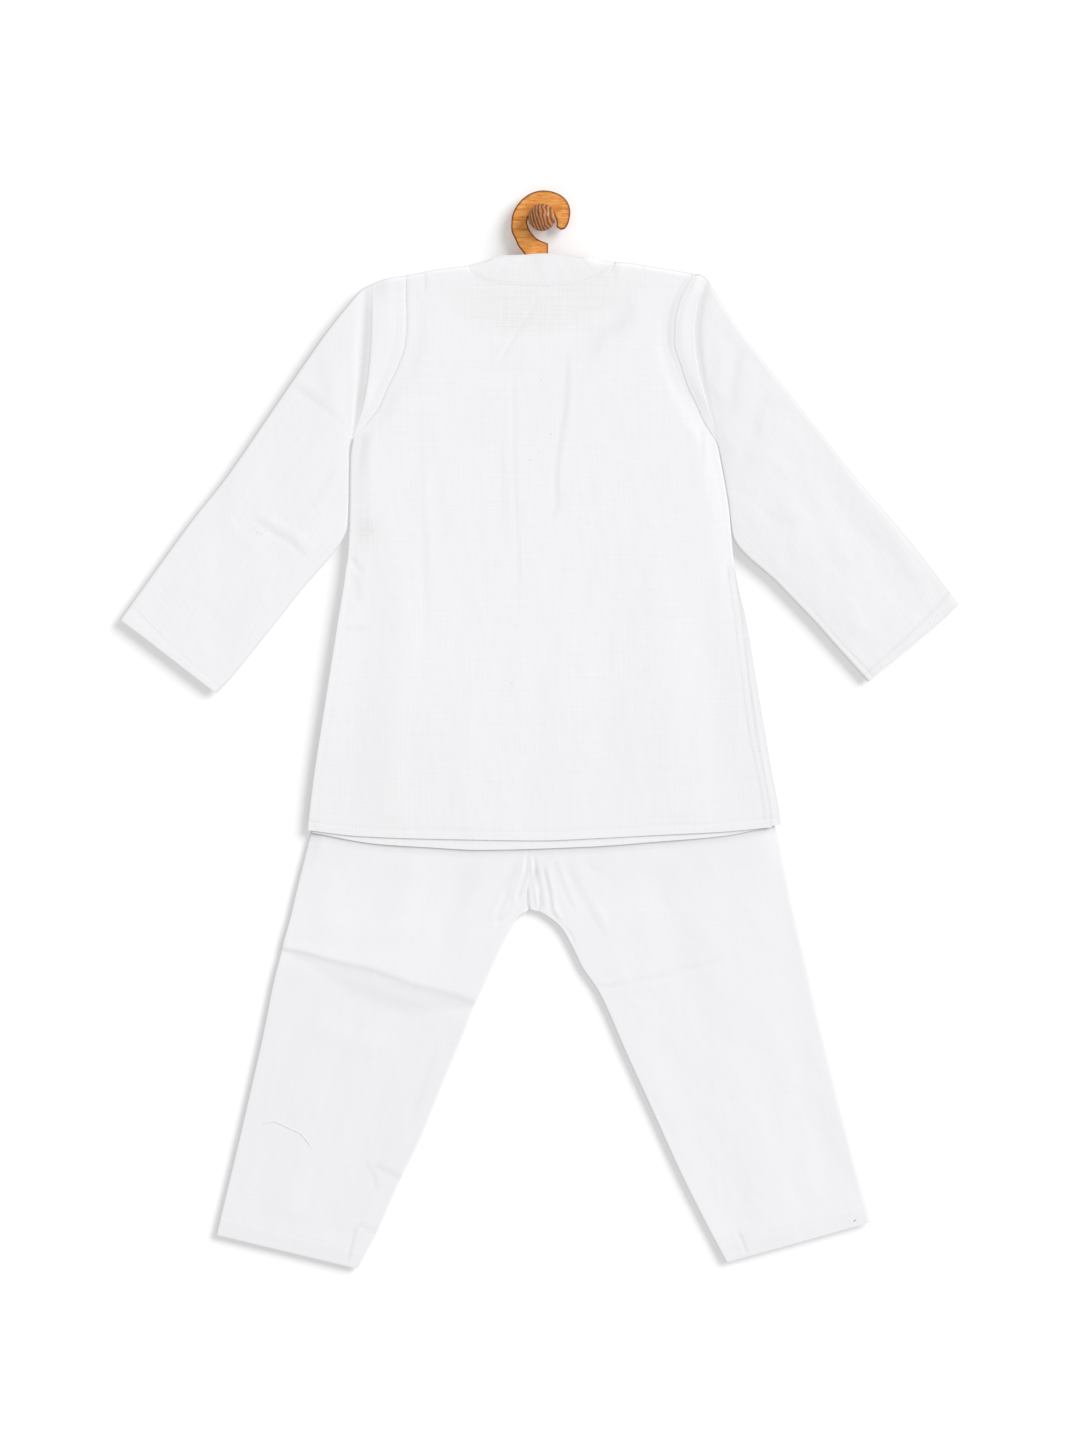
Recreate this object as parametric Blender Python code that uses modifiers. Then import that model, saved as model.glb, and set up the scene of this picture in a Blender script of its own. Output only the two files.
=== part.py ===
"""A child's kurta pyjama set, hung flat on a wooden hanger from a round wall knob.

The set is seen from the kurta's back (-Y). The wall is the plane y = 0 and everything
lies in front of it, at y < 0. The origin is the centre of the knob's flat wall end.
Sizes are in millimetres: x to the viewer's right, "down" below the knob's centre, and
"depth" out from the wall. Every cloth piece is a wall of one thickness, lofted through
sections worked out from the tables below, and stops a hair short of what it is sewn to.
"""

import math
from collections import namedtuple

import bmesh
import bpy
import numpy as np

MM = 0.001

# ---------------------------------------------------------------- driving sizes, mm
CLOTH = 1.25  # wall of every cloth piece
SEAM_GAP = 0.4  # between two pieces sewn edge to edge
COLLAR_GAP = 0.6  # between the band and the neckline
LAYER_GAP = 0.3  # between two layers pressed together at a seam or a fold
EDGE = CLOTH + LAYER_GAP / 2  # half thickness of two layers pressed together
FOLD_INSET = 1.35  # cloth left solid along a folded edge

BOARD = 6.0  # thickness of the hanger's board
BOARD_MID = 9.6  # depth of the middle of the board
OVER_BOARD = BOARD / 2 + 0.4 + CLOTH  # half thickness of the kurta over the board
RIDGE = 4.0  # height of the slope where the cloth turns over the board's top edge

KURTA_MID_HEM = 8.2  # depth of the kurta's middle plane at the hem
SLEEVE_MID_CUFF = 7.0
LEG_MID_TOP = 3.9
LEG_MID_HEM = 5.0
LEG_HALF = 1.85  # half thickness of a pyjama leg, two layers
KURTA_HEM_DOWN = 555.0
BOARD_LOW = 115.0  # the kurta stays at the board's depth down to here

NECK_LEFT, NECK_RIGHT = -66.7, 65.8  # neck points on the shoulder line
NECK_COLUMNS = (-65.0, -60.0, -50.0, -34.0, -17.0, 0.0, 17.0, 34.0, 50.0, 60.0, 64.2)
SIDE_SHARES = (0.0, 0.07, 0.3, 0.66)  # columns between a side edge and the neck point
COLLAR_LIFT = 0.68  # the band leans in: its top is this share of its length at the seam

PLACKET_HALF = 17.0
PLACKET_END, PLACKET_POINT = 262.0, 279.0
BUTTON_R, BUTTON_T = 5.5, 2.2
BUTTON_DOWNS = (132.0, 180.0, 228.0)

KNOB_R = 12.4  # ball
KNOB_NECK_R = 8.5
KNOB_NECK = BOARD_MID + BOARD / 2 + 0.8  # length of the neck, wall to ball
HOOK_R = 13.3  # inside of the hook
HOOK_DOWN = 4.4  # its centre, below the knob's: the hook hangs on the neck
STEM_LEFT, STEM_RIGHT = -15.6, 5.5

WAIST_DOWN, WAIST_LOW = 403.0, 424.2
CROTCH_X = -11.8

# ---------------------------------------------------------------- the kurta's tables
# One row across the body from edge to edge: where it meets the armhole, the side seam
# or the slit. "edge" is the half thickness there, "front_*" the front panel's own edge.
Row = namedtuple("Row", "left left_down right right_down edge front_left front_right")
BODY = (
    Row(-121.9, 51.1, 135.5, 49.6, EDGE, None, None),
    Row(-121.9, 55.1, 134.0, 53.6, OVER_BOARD, None, None),
    Row(-121.8, 74.0, 124.3, 72.7, OVER_BOARD, None, None),
    Row(-121.4, 93.0, 119.3, 93.4, OVER_BOARD, None, None),
    Row(-123.2, 114.0, 118.8, 112.0, 4.3, None, None),
    Row(-130.2, 135.0, 125.0, 134.0, 3.7, None, None),
    Row(-139.5, 154.0, 131.1, 152.0, 3.0, None, None),
    Row(-146.9, 171.0, 138.8, 168.0, 2.4, None, None),
    Row(-158.3, 185.2, 146.6, 185.0, 1.9, None, None),
    Row(-170.0, 198.0, 156.7, 199.6, EDGE, None, None),  # armpits
    Row(-172.7, 221.0, 161.2, 221.0, EDGE, None, None),
    Row(-173.1, 262.0, 168.2, 262.0, EDGE, None, None),
    Row(-175.8, 311.0, 172.6, 309.0, EDGE, None, None),  # tops of the slits
    Row(-183.3, 361.6, 180.1, 364.0, 1.6, -182.5, 184.3),
    Row(-192.0, 417.0, 186.4, 417.0, 1.6, -190.5, 193.2),
    Row(-198.6, 459.0, 192.2, 461.0, 1.6, -196.5, 200.6),
    Row(-204.4, 497.0, 199.5, 497.0, 1.6, -201.5, 206.6),
    Row(-208.7, 531.0, 205.4, 530.0, 1.6, -205.0, 213.0),
    Row(-210.8, 550.8, 207.0, 548.2, 1.6, -206.5, 215.5),
)
ARMPIT = 9  # row of the armpits
YOKE = 5  # rows above this one bend to follow the neckline
FLAT = 14  # rows below this one bend to follow the hem

Point = namedtuple("Point", "x down")
SHOULDERS = (
    Point(-121.9, 51.1),
    Point(-105.8, 48.0),
    Point(-91.7, 45.4),
    Point(NECK_LEFT, 42.9),
    Point(NECK_RIGHT, 39.2),
    Point(102.1, 43.9),
    Point(135.5, 49.6),
)
NECK_BACK = (
    Point(NECK_LEFT, 42.9),
    Point(-65.0, 44.6),
    Point(-60.0, 48.4),
    Point(-50.0, 54.0),
    Point(-34.0, 57.5),
    Point(0.0, 59.2),
    Point(34.0, 57.0),
    Point(50.0, 52.5),
    Point(60.0, 45.6),
    Point(64.2, 41.4),
    Point(NECK_RIGHT, 39.2),
)
NECK_FRONT = (
    Point(NECK_LEFT, 42.9),
    Point(-65.0, 49.0),
    Point(-60.0, 72.0),
    Point(-50.0, 90.0),
    Point(-34.0, 102.5),
    Point(0.0, 109.6),
    Point(34.0, 102.5),
    Point(50.0, 90.0),
    Point(60.0, 71.0),
    Point(64.2, 46.0),
    Point(NECK_RIGHT, 39.2),
)
COLLAR_BACK = (
    Point(-45.1, 36.5),
    Point(-35.5, 33.7),
    Point(-15.4, 32.9),
    Point(0.0, 31.8),
    Point(16.3, 32.0),
    Point(28.8, 34.0),
    Point(45.1, 36.3),
)
COLLAR_FRONT = (
    Point(-45.1, 36.5),
    Point(-44.2, 42.0),
    Point(-40.8, 54.0),
    Point(-34.0, 70.0),
    Point(-23.0, 81.0),
    Point(0.0, 88.0),
    Point(23.0, 81.0),
    Point(34.0, 70.0),
    Point(40.8, 54.0),
    Point(43.7, 41.0),
    Point(45.1, 36.3),
)
HEM_BACK = (
    Point(-210.8, 550.8),
    Point(-164.7, 556.2),
    Point(-105.8, 558.5),
    Point(0.0, 560.1),
    Point(43.0, 558.4),
    Point(102.8, 555.3),
    Point(162.5, 552.3),
    Point(207.0, 548.2),
)
HEM_FRONT = (
    Point(-206.5, 553.0),
    Point(-149.2, 563.2),
    Point(-102.7, 566.3),
    Point(-56.3, 568.6),
    Point(43.0, 565.7),
    Point(102.8, 561.3),
    Point(162.5, 556.1),
    Point(215.5, 545.5),
)
# Half thickness of the kurta at its middle, by height.
Core = namedtuple("Core", "down half")
CORE = (
    Core(40, OVER_BOARD),
    Core(BOARD_LOW, OVER_BOARD),
    Core(150, 4.2),
    Core(200, 3.3),
    Core(262, 2.7),
    Core(311, 2.4),
    Core(364, 2.15),
    Core(560, 1.9),
)
# The largest soft folds of the back: straight lines that rise (+) or sink (-).
Fold = namedtuple("Fold", "x0 down0 x1 down1 width rise")
BACK_FOLDS = (
    Fold(-20, 150, -22, 400, 11, -0.5),
    Fold(-3, 140, -4, 290, 14, 0.45),
    Fold(18, 125, 7, 270, 11, -0.5),
    Fold(-108, 180, -106, 420, 16, -0.35),
    Fold(70, 100, 36, 135, 14, -0.45),
    Fold(100, 220, 120, 520, 30, 0.4),
    Fold(-150, 380, -175, 540, 22, -0.3),
)

# ---------------------------------------------------------------- sleeves
# One row a section: the folded top edge, two points across it, the sewn lower edge,
# and the half thickness toward the viewer and toward the wall.
Section = namedtuple(
    "Section", "top_x top_down p_x p_down q_x q_down low_x low_down view wall"
)
LEFT_SLEEVE = (
    Section(-152.5, 58.8, -155.0, 110.0, -161.5, 158.5, -176.6, 203.0, 5.0, 4.4),
    Section(-160.8, 62.8, -163.0, 114.0, -167.0, 162.5, -176.6, 210.5, 2.4, 4.1),
    Section(-175.8, 79.1, -175.5, 125.0, -173.5, 172.0, -176.2, 223.0, 3.2, 3.6),
    Section(-190.7, 97.5, -188.0, 150.0, -181.5, 200.0, -176.4, 252.0, 3.3, 3.2),
    Section(-217.0, 134.4, -207.0, 185.0, -193.0, 230.0, -177.8, 276.5, 3.0, 2.8),
    Section(-252.0, 185.8, -243.5, 235.0, -233.0, 285.0, -218.6, 337.1, 2.6, 2.5),
    Section(-286.6, 235.6, -277.0, 283.0, -265.5, 330.0, -246.0, 371.8, 2.4, 2.3),
    Section(-314.1, 270.0, -303.0, 314.0, -287.0, 356.0, -266.0, 396.9, 2.2, 2.1),
    Section(-350.0, 319.2, -331.0, 353.0, -308.0, 385.0, -280.0, 413.9, 2.0, 2.0),
    Section(-380.1, 361.0, -352.0, 382.0, -323.0, 404.5, -293.2, 427.4, 1.9, 1.9),
)
RIGHT_SLEEVE = (
    Section(149.1, 55.2, 136.6, 108.0, 146.5, 160.5, 162.3, 206.0, 5.1, 4.4),
    Section(153.6, 62.0, 144.5, 112.0, 152.0, 164.0, 163.0, 213.0, 2.5, 4.1),
    Section(165.1, 81.6, 160.0, 130.0, 160.5, 178.0, 164.6, 228.5, 3.3, 3.6),
    Section(178.3, 101.3, 175.0, 152.0, 169.5, 204.0, 169.1, 258.0, 3.3, 3.2),
    Section(205.0, 135.1, 197.0, 185.0, 186.0, 235.0, 173.5, 285.5, 3.0, 2.8),
    Section(243.0, 183.1, 236.5, 236.0, 226.5, 285.0, 213.0, 329.6, 2.6, 2.5),
    Section(284.5, 235.6, 275.5, 281.0, 262.5, 325.0, 245.5, 363.7, 2.4, 2.3),
    Section(319.1, 275.8, 305.0, 318.0, 286.0, 357.0, 262.0, 382.2, 2.2, 2.1),
    Section(350.0, 313.9, 329.0, 347.0, 305.0, 377.0, 279.5, 401.7, 2.0, 2.0),
    Section(375.3, 348.1, 349.0, 371.0, 321.0, 394.0, 293.4, 417.2, 1.9, 1.9),
)
PLEAT_VIEW, PLEAT_WALL = 5.1, 4.65  # halfway from the armhole to the first row
PLEAT_TOPS = {-1: Point(-138.0, 53.6), 1: Point(142.3, 50.3)}  # there, on the fold
# How the half thickness builds up from the folded edge (0) to the sewn edge (9).
AT_SEAM = (0.0, 1.0, 1.0, 1.0, 0.9, 0.7, 0.5, 0.3, 0.15, 0.0)
ALONG_ARM = (0.0, 0.8, 1.0, 1.0, 1.0, 0.97, 0.9, 0.75, 0.45, 0.0)

# ---------------------------------------------------------------- pyjama legs
# One row a section: the folded outer side, the inner edge, and the half thickness.
Leg = namedtuple("Leg", "out_x out_down in_x in_down view")
LEFT_LEG = (
    Leg(-173.6, 424.6, -12.0, 424.6, LEG_HALF),
    Leg(-187.0, 470.0, -12.0, 471.5, LEG_HALF),
    Leg(-199.7, 519.0, -12.0, 523.6, LEG_HALF),
    Leg(-210.5, 561.4, -12.0, 575.8, LEG_HALF),
    Leg(-223.1, 611.0, -12.0, 618.0, 2.2),
    Leg(-226.7, 627.0, -20.6, 627.8, 2.4),
    Leg(-231.0, 642.5, -32.0, 647.0, 2.8),
    Leg(-234.4, 654.5, -55.0, 697.0, 4.2),  # crest of the fold across the leg
    Leg(-235.3, 659.5, -59.8, 706.5, 1.7),  # valley under it
    Leg(-242.0, 685.6, -71.0, 735.0, 2.1),
    Leg(-252.0, 735.0, -91.7, 784.6, 2.3),
    Leg(-261.0, 775.6, -109.7, 829.4, 2.2),
    Leg(-273.3, 829.4, -128.0, 866.5, 2.0),
    Leg(-284.4, 876.2, -148.7, 913.3, LEG_HALF),
    Leg(-293.8, 915.1, -165.9, 945.7, LEG_HALF),
)
RIGHT_LEG = (
    Leg(181.9, 424.6, -11.6, 424.6, LEG_HALF),
    Leg(191.8, 470.0, -11.6, 471.5, LEG_HALF),
    Leg(202.6, 519.0, -11.6, 523.6, LEG_HALF),
    Leg(212.5, 557.8, -11.6, 575.8, LEG_HALF),
    Leg(223.3, 609.0, -11.6, 618.0, 2.2),
    Leg(227.8, 629.0, -2.2, 626.6, 2.4),
    Leg(233.2, 651.4, 15.0, 637.0, 2.4),
    Leg(238.0, 672.0, 25.5, 653.5, 2.3),
    Leg(243.0, 695.0, 36.0, 675.0, 2.3),
    Leg(250.3, 726.0, 49.6, 694.6, 2.3),
    Leg(262.5, 775.6, 77.3, 756.0, 2.3),
    Leg(274.6, 823.3, 100.9, 807.5, 2.2),
    Leg(284.7, 863.8, 124.3, 859.0, 2.0),
    Leg(291.1, 886.5, 149.6, 909.4, LEG_HALF),
    Leg(295.7, 904.3, 166.0, 940.3, LEG_HALF),
)
CROTCH_ROW = 4  # the last section above the crotch
# Shares across a leg from the inner edge to the fold, and how the thickness builds up.
Across = namedtuple("Across", "share rise_open rise_sewn")
LEG_ACROSS = (
    Across(0.0, 1.0, 0.0),
    Across(0.05, 1.0, 0.6),
    Across(0.18, 1.0, 1.0),
    Across(0.36, 1.0, 1.0),
    Across(0.56, 1.0, 1.0),
    Across(0.76, 1.0, 1.0),
    Across(0.92, 0.95, 0.95),
    Across(0.98, 0.8, 0.8),
    Across(1.0, 0.0, 0.0),
)

# ---------------------------------------------------------------- hanger and knob
# The hook's outer edge about the hook's centre, from its tip round to the stem.
Turn = namedtuple("Turn", "degrees radius")
HOOK_OUTER = (
    Turn(-19, 17.6),
    Turn(-15, 20.6),
    Turn(-9, 22.2),
    Turn(1, 23.9),
    Turn(17, 26.6),
    Turn(29, 28.7),
    Turn(43, 30.1),
    Turn(57, 30.3),
    Turn(73, 29.8),
    Turn(91, 29.3),
    Turn(107, 28.7),
    Turn(124, 28.0),
    Turn(143, 27.5),
    Turn(164, 27.5),
    Turn(184, 27.6),
    Turn(196, 28.2),
    Turn(212, 28.0),
    Turn(224, 29.5),
    Turn(241, 31.8),
)
HOOK_INNER_FROM, HOOK_INNER_TO, HOOK_INNER_STEPS = -13.0, 182.0, 16
HOOK_THROAT = (Point(-10.7, 11.3), Point(-4.3, 18.5), Point(STEM_RIGHT, 22.9))
ARMS = (  # the rest of the outline, from the stem's left side round to its right
    Point(STEM_LEFT, 42.0),
    Point(-40.0, 44.5),
    Point(-55.0, 50.0),
    Point(-66.7, 54.0),
    Point(-91.7, 51.8),
    Point(-121.9, 56.4),
    Point(-138.0, 59.6),
    Point(-142.5, 62.5),
    Point(-142.5, 67.0),
    Point(-141.0, 70.5),
    Point(-100.0, 68.0),
    Point(-86.0, 80.0),
    Point(-64.0, 97.0),
    Point(-38.0, 105.0),
    Point(0.0, 104.0),
    Point(36.0, 98.0),
    Point(64.0, 86.0),
    Point(82.0, 73.0),
    Point(100.0, 66.5),
    Point(134.0, 68.5),
    Point(139.5, 65.0),
    Point(139.5, 60.5),
    Point(135.0, 57.0),
    Point(102.1, 49.4),
    Point(65.8, 49.0),
    Point(55.0, 46.5),
    Point(40.0, 43.0),
    Point(STEM_RIGHT, 42.0),
)


# ---------------------------------------------------------------- helpers
def xyz(x, down, depth):
    """A point from millimetres across, below the knob and out from the wall."""
    return (x * MM, -depth * MM, -down * MM)


def along(table, x):
    """The table's down at x, straight between its rows."""
    return float(np.interp(x, [p.x for p in table], [p.down for p in table]))


def core_half(down):
    return float(np.interp(down, [c.down for c in CORE], [c.half for c in CORE]))


def smooth(t):
    t = min(max(t, 0.0), 1.0)
    return t * t * (3 - 2 * t)


def kurta_mid(down):
    """Depth of the kurta's middle plane."""
    t = (down - BOARD_LOW) / (KURTA_HEM_DOWN - BOARD_LOW)
    return BOARD_MID + (KURTA_MID_HEM - BOARD_MID) * min(max(t, 0.0), 1.0)


def leg_mid(down):
    t = (down - 575.0) / (940.0 - 575.0)
    return LEG_MID_TOP + (LEG_MID_HEM - LEG_MID_TOP) * min(max(t, 0.0), 1.0)


def folds(table, x, down):
    """Sum of the soft folds at a point, each fading at its ends and to its sides."""
    total = 0.0
    for f in table:
        run_x, run_d = f.x1 - f.x0, f.down1 - f.down0
        length = math.hypot(run_x, run_d)
        t = ((x - f.x0) * run_x + (down - f.down0) * run_d) / length**2
        if not 0 < t < 1:
            continue
        away = ((x - f.x0) * run_d - (down - f.down0) * run_x) / length
        total += f.rise * math.exp(-((away / f.width) ** 2)) * math.sin(math.pi * t)
    return total


def make_material(name, color, roughness, sheen=0.0):
    material = bpy.data.materials.new(name)
    material.use_nodes = True
    shader = material.node_tree.nodes["Principled BSDF"]
    shader.inputs["Base Color"].default_value = (*color, 1.0)
    shader.inputs["Roughness"].default_value = roughness
    shader.inputs["Metallic"].default_value = 0.0
    shader.inputs["Sheen Weight"].default_value = sheen
    material.diffuse_color = (*color, 1.0)
    return material


def wall_solid(name, outer, inner, material):
    """One closed piece of cloth, lofted between its outer and inner grid of points."""
    rows, columns = len(outer), len(outer[0])
    mesh = bmesh.new()
    grids = [
        [[mesh.verts.new(xyz(*point)) for point in row] for row in grid]
        for grid in (outer, inner)
    ]
    o, n = grids

    def quad(a, b, c, d):
        mesh.faces.new((a, b, c))
        mesh.faces.new((a, c, d))

    for i in range(rows - 1):
        for j in range(columns - 1):
            quad(o[i][j], o[i][j + 1], o[i + 1][j + 1], o[i + 1][j])
            quad(n[i][j], n[i + 1][j], n[i + 1][j + 1], n[i][j + 1])
    for i in range(rows - 1):
        quad(o[i][0], o[i + 1][0], n[i + 1][0], n[i][0])
        quad(o[i][-1], n[i][-1], n[i + 1][-1], o[i + 1][-1])
    for j in range(columns - 1):
        quad(o[0][j], n[0][j], n[0][j + 1], o[0][j + 1])
        quad(o[-1][j], o[-1][j + 1], n[-1][j + 1], n[-1][j])
    bmesh.ops.recalc_face_normals(mesh, faces=mesh.faces)
    data = bpy.data.meshes.new(name)
    mesh.to_mesh(data)
    mesh.free()
    return place(name, data, material)


def place(name, data, material):
    obj = bpy.data.objects.new(name, data)
    data.materials.append(material)
    PARTS.objects.link(obj)
    return obj


# ---------------------------------------------------------------- the kurta's body
def body_columns(left, right):
    """Where the panel's columns stand across one row."""
    xs = [left + (NECK_LEFT - SEAM_GAP - left) * s for s in SIDE_SHARES]
    xs += [NECK_LEFT - SEAM_GAP, *NECK_COLUMNS, NECK_RIGHT + SEAM_GAP]
    xs += [right + (NECK_RIGHT + SEAM_GAP - right) * s for s in reversed(SIDE_SHARES)]
    return xs


FIRST_NECK = len(SIDE_SHARES) + 1
NECK_COLUMN_RANGE = range(FIRST_NECK, FIRST_NECK + len(NECK_COLUMNS))


def body_grid(front):
    """(outer, inner) grids of one panel of the body; toward the wall if it's the front."""
    neck, hem = (NECK_FRONT, HEM_FRONT) if front else (NECK_BACK, HEM_BACK)
    side = -1.0 if front else 1.0
    outer, inner = [], []
    top = BODY[0]
    yoke = BODY[YOKE]
    last = len(BODY) - 1
    for k, row in enumerate(BODY):
        left = row.left if not front or row.front_left is None else row.front_left
        right = row.right if not front or row.front_right is None else row.front_right
        xs = body_columns(left, right)
        top_xs = body_columns(top.left, top.right)
        out_row, in_row = [], []
        for j, x in enumerate(xs):
            in_neck = j in NECK_COLUMN_RANGE
            share = (x - left) / (right - left)
            down = row.left_down + (row.right_down - row.left_down) * share
            if k < YOKE:
                over = along(neck if in_neck else SHOULDERS, top_xs[j])
                level = top.left_down + (top.right_down - top.left_down) * share
                sunk = (row.left_down - top.left_down) / (
                    yoke.left_down - top.left_down
                )
                down += (over - level) * (1 - sunk)
            if k > FLAT:
                bottom = BODY[last]
                level = (
                    bottom.left_down
                    + (bottom.right_down - bottom.left_down) * share
                )
                down += (along(hem, x) - level) * ((k - FLAT) / (last - FLAT)) ** 1.3
            core = core_half(down)
            if k == 0 and not in_neck:
                half = EDGE
            else:
                reach = min(x - left, right - x)
                half = row.edge + (core - row.edge) * smooth(reach / 20.0)
                if not front and k > 1:
                    half += folds(BACK_FOLDS, x, down) * smooth(reach / 20.0)
            middle = kurta_mid(down)
            out_row.append((x, down, middle + side * half))
            in_row.append((x, down, middle + side * (half - CLOTH)))
        outer.append(out_row)
        inner.append(in_row)
    return outer, inner


def collar_grids(back, front):
    """The band as three rows round the neck, from one front end to the other.

    back and front are the panels' outer grids: the band stands on their top edges.
    """
    stations = []  # (seam point, top point, way out)

    def add(grid, j, side, top_table, x=None):
        seam_x, seam_down, depth = grid[0][j]
        run = grid[0][j + 1][0] - grid[0][j - 1][0]
        fall = grid[0][j + 1][1] - grid[0][j - 1][1]
        length = math.hypot(run, fall)
        seam_x = seam_x + COLLAR_GAP * fall / length if x is None else x
        top_x = seam_x * COLLAR_LIFT
        stations.append(
            (
                (seam_x, seam_down - COLLAR_GAP * run / length, depth),
                (top_x, along(top_table, top_x), depth + side * 0.25),
                (0.0, 0.0, side),
            )
        )

    middle = FIRST_NECK + len(NECK_COLUMNS) // 2
    first, last = NECK_COLUMN_RANGE[0], NECK_COLUMN_RANGE[-1]
    slit = SEAM_GAP / 2
    add(front, middle, -1.0, COLLAR_FRONT, x=-slit)
    for j in range(middle - 1, first - 1, -1):
        add(front, j, -1.0, COLLAR_FRONT)
    for turn, x, end, drop in (
        (-1, NECK_LEFT, COLLAR_BACK[0], 42.9),
        (1, NECK_RIGHT, COLLAR_BACK[-1], 39.2),
    ):
        if turn > 0:
            for j in NECK_COLUMN_RANGE:
                add(back, j, 1.0, COLLAR_BACK)
        rise = math.atan2(drop - end.down, abs(x) - abs(end.x))
        out = (turn * math.sin(rise), -math.cos(rise), 0.0)
        stations.append(
            ((x - turn * COLLAR_GAP, drop, BOARD_MID), (end.x, end.down, BOARD_MID), out)
        )
    for j in range(last, middle, -1):
        add(front, j, -1.0, COLLAR_FRONT)
    add(front, middle, -1.0, COLLAR_FRONT, x=slit)

    outer, inner = [], []
    for share in (0.0, 0.5, 1.0):
        out_row, in_row = [], []
        for seam, top, out in stations:
            point = [a + (b - a) * share for a, b in zip(seam, top)]
            out_row.append(tuple(point))
            in_row.append(tuple(p - o * CLOTH for p, o in zip(point, out)))
        outer.append(out_row)
        inner.append(in_row)
    return outer, inner


def placket_grids(front):
    """A strip lying on the front panel: the panel's own points, moved out."""
    columns = [j for j in NECK_COLUMN_RANGE if abs(front[0][j][0]) <= PLACKET_HALF]
    off = LAYER_GAP + 0.15
    rows = [
        [(x, down, depth - off) for x, down, depth in (row[j] for j in columns)]
        for row in front
    ]
    kept = [row for row in rows if row[0][1] < PLACKET_END - 5]
    above = kept[-1]
    below = rows[len(kept)]
    beyond = rows[len(kept) + 1]

    def at(j, down):
        a, b = (above[j], below[j]) if down <= below[j][1] else (below[j], beyond[j])
        t = (down - a[1]) / (b[1] - a[1])
        return tuple(p + (q - p) * t for p, q in zip(a, b))

    middle = len(columns) // 2
    ends = [PLACKET_POINT if j == middle else PLACKET_END for j in range(len(columns))]
    lowest = [at(j, end) for j, end in enumerate(ends)]
    first = [(x, down + 0.6, depth) for x, down, depth in kept[0]]
    outer = [first, *kept[1:], lowest]
    outer = [[(x, d, y - CLOTH) for x, d, y in row] for row in outer]
    inner = [[(x, d, y + CLOTH) for x, d, y in row] for row in outer]
    return outer, inner


# ---------------------------------------------------------------- folded pieces
def curve_through(points, shares, ws):
    """Points on the smooth curve through the given ones, which lie at the shares."""
    points = np.array(points, float)
    found = []
    for w in ws:
        total = np.zeros(2)
        for i, s in enumerate(shares):
            weight = 1.0
            for j, other in enumerate(shares):
                if j != i:
                    weight *= (w - other) / (s - other)
            total += weight * points[i]
        found.append(total)
    return found


def folded_rows(line, halves_view, halves_wall, mid):
    """One section of a piece folded along its first edge: the loop of outer points and
    the loop of inner points, from the viewer's sewn edge over the fold to the wall's."""
    first, second = np.array(line[0]), np.array(line[1])
    step = np.linalg.norm(second - first)
    inset = min(FOLD_INSET, 0.6 * step)
    fold_in = first + (second - first) * (inset / step)
    loops = ([], [])
    for side, halves in ((1.0, halves_view), (-1.0, halves_wall)):
        out_side, in_side = [], []
        for k, (x, down) in enumerate(line):
            half = halves[k]
            out_side.append((x, down, mid(x, down) + side * half))
            if k == 0:
                x, down = fold_in
                half = halves[0] + (halves[1] - halves[0]) * inset / step
            inner_half = max(half - CLOTH, LAYER_GAP / 2)
            in_side.append((x, down, mid(x, down) + side * inner_half))
        if side > 0:
            out_side.reverse()
            in_side.reverse()
        loops[0].extend(out_side)
        loops[1].extend(in_side)
    return loops


def sleeve_grids(sections, armhole, turn):
    """Outer and inner grids of a sleeve. turn is -1 for the viewer's left."""
    steps = [math.dist(a, b) for a, b in zip(armhole, armhole[1:])]
    ws = np.concatenate([[0.0], np.cumsum(steps)]) / sum(steps)
    shares = (0.0, 1 / 3, 2 / 3, 1.0)
    lines = [[(x + turn * SEAM_GAP, down) for x, down in armhole]]
    halves = [None, (PLEAT_VIEW, PLEAT_WALL)]
    for row in sections:
        points = (
            (row.top_x, row.top_down),
            (row.p_x, row.p_down),
            (row.q_x, row.q_down),
            (row.low_x, row.low_down),
        )
        lines.append([tuple(p) for p in curve_through(points, shares, ws)])
        halves.append((row.view, row.wall))
    pleat = [
        ((a[0] + b[0]) / 2, (a[1] + b[1]) / 2) for a, b in zip(lines[0], lines[1])
    ]
    top = PLEAT_TOPS[turn]
    rise_x, rise_down = top.x - pleat[0][0], top.down - pleat[0][1]
    pleat = [
        (x + rise_x * (1 - w) ** 4, down + rise_down * (1 - w) ** 4)
        for w, (x, down) in zip(ws, pleat)
    ]
    lines.insert(1, pleat)

    outer, inner = [], []
    last = len(lines) - 1
    for s, line in enumerate(lines):
        t = s / last

        def mid(x, down, t=t):
            return kurta_mid(down) * (1 - t) + SLEEVE_MID_CUFF * t

        if s == 0:
            view = wall = [BODY[k].edge for k in range(len(armhole))]
        else:
            arm = min(1.0, s / 5)
            rises = [a + (b - a) * arm for a, b in zip(AT_SEAM, ALONG_ARM)]
            view = [EDGE + (halves[s][0] - EDGE) * r for r in rises]
            wall = [EDGE + (halves[s][1] - EDGE) * r for r in rises]
        out_loop, in_loop = folded_rows(line, view, wall, mid)
        outer.append(out_loop)
        inner.append(in_loop)
    return outer, inner


def leg_grids(sections):
    outer, inner = [], []
    for s, row in enumerate(sections):
        line, view, wall = [], [], []
        for a in reversed(LEG_ACROSS):
            line.append(
                (
                    row.in_x + (row.out_x - row.in_x) * a.share,
                    row.in_down + (row.out_down - row.in_down) * a.share,
                )
            )
            rise = a.rise_open if s <= CROTCH_ROW else a.rise_sewn
            view.append(EDGE + (row.view - EDGE) * rise)
            wall.append(EDGE + (LEG_HALF - EDGE) * rise)
        out_loop, in_loop = folded_rows(line, view, wall, lambda x, down: leg_mid(down))
        outer.append(out_loop)
        inner.append(in_loop)
    return outer, inner


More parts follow.
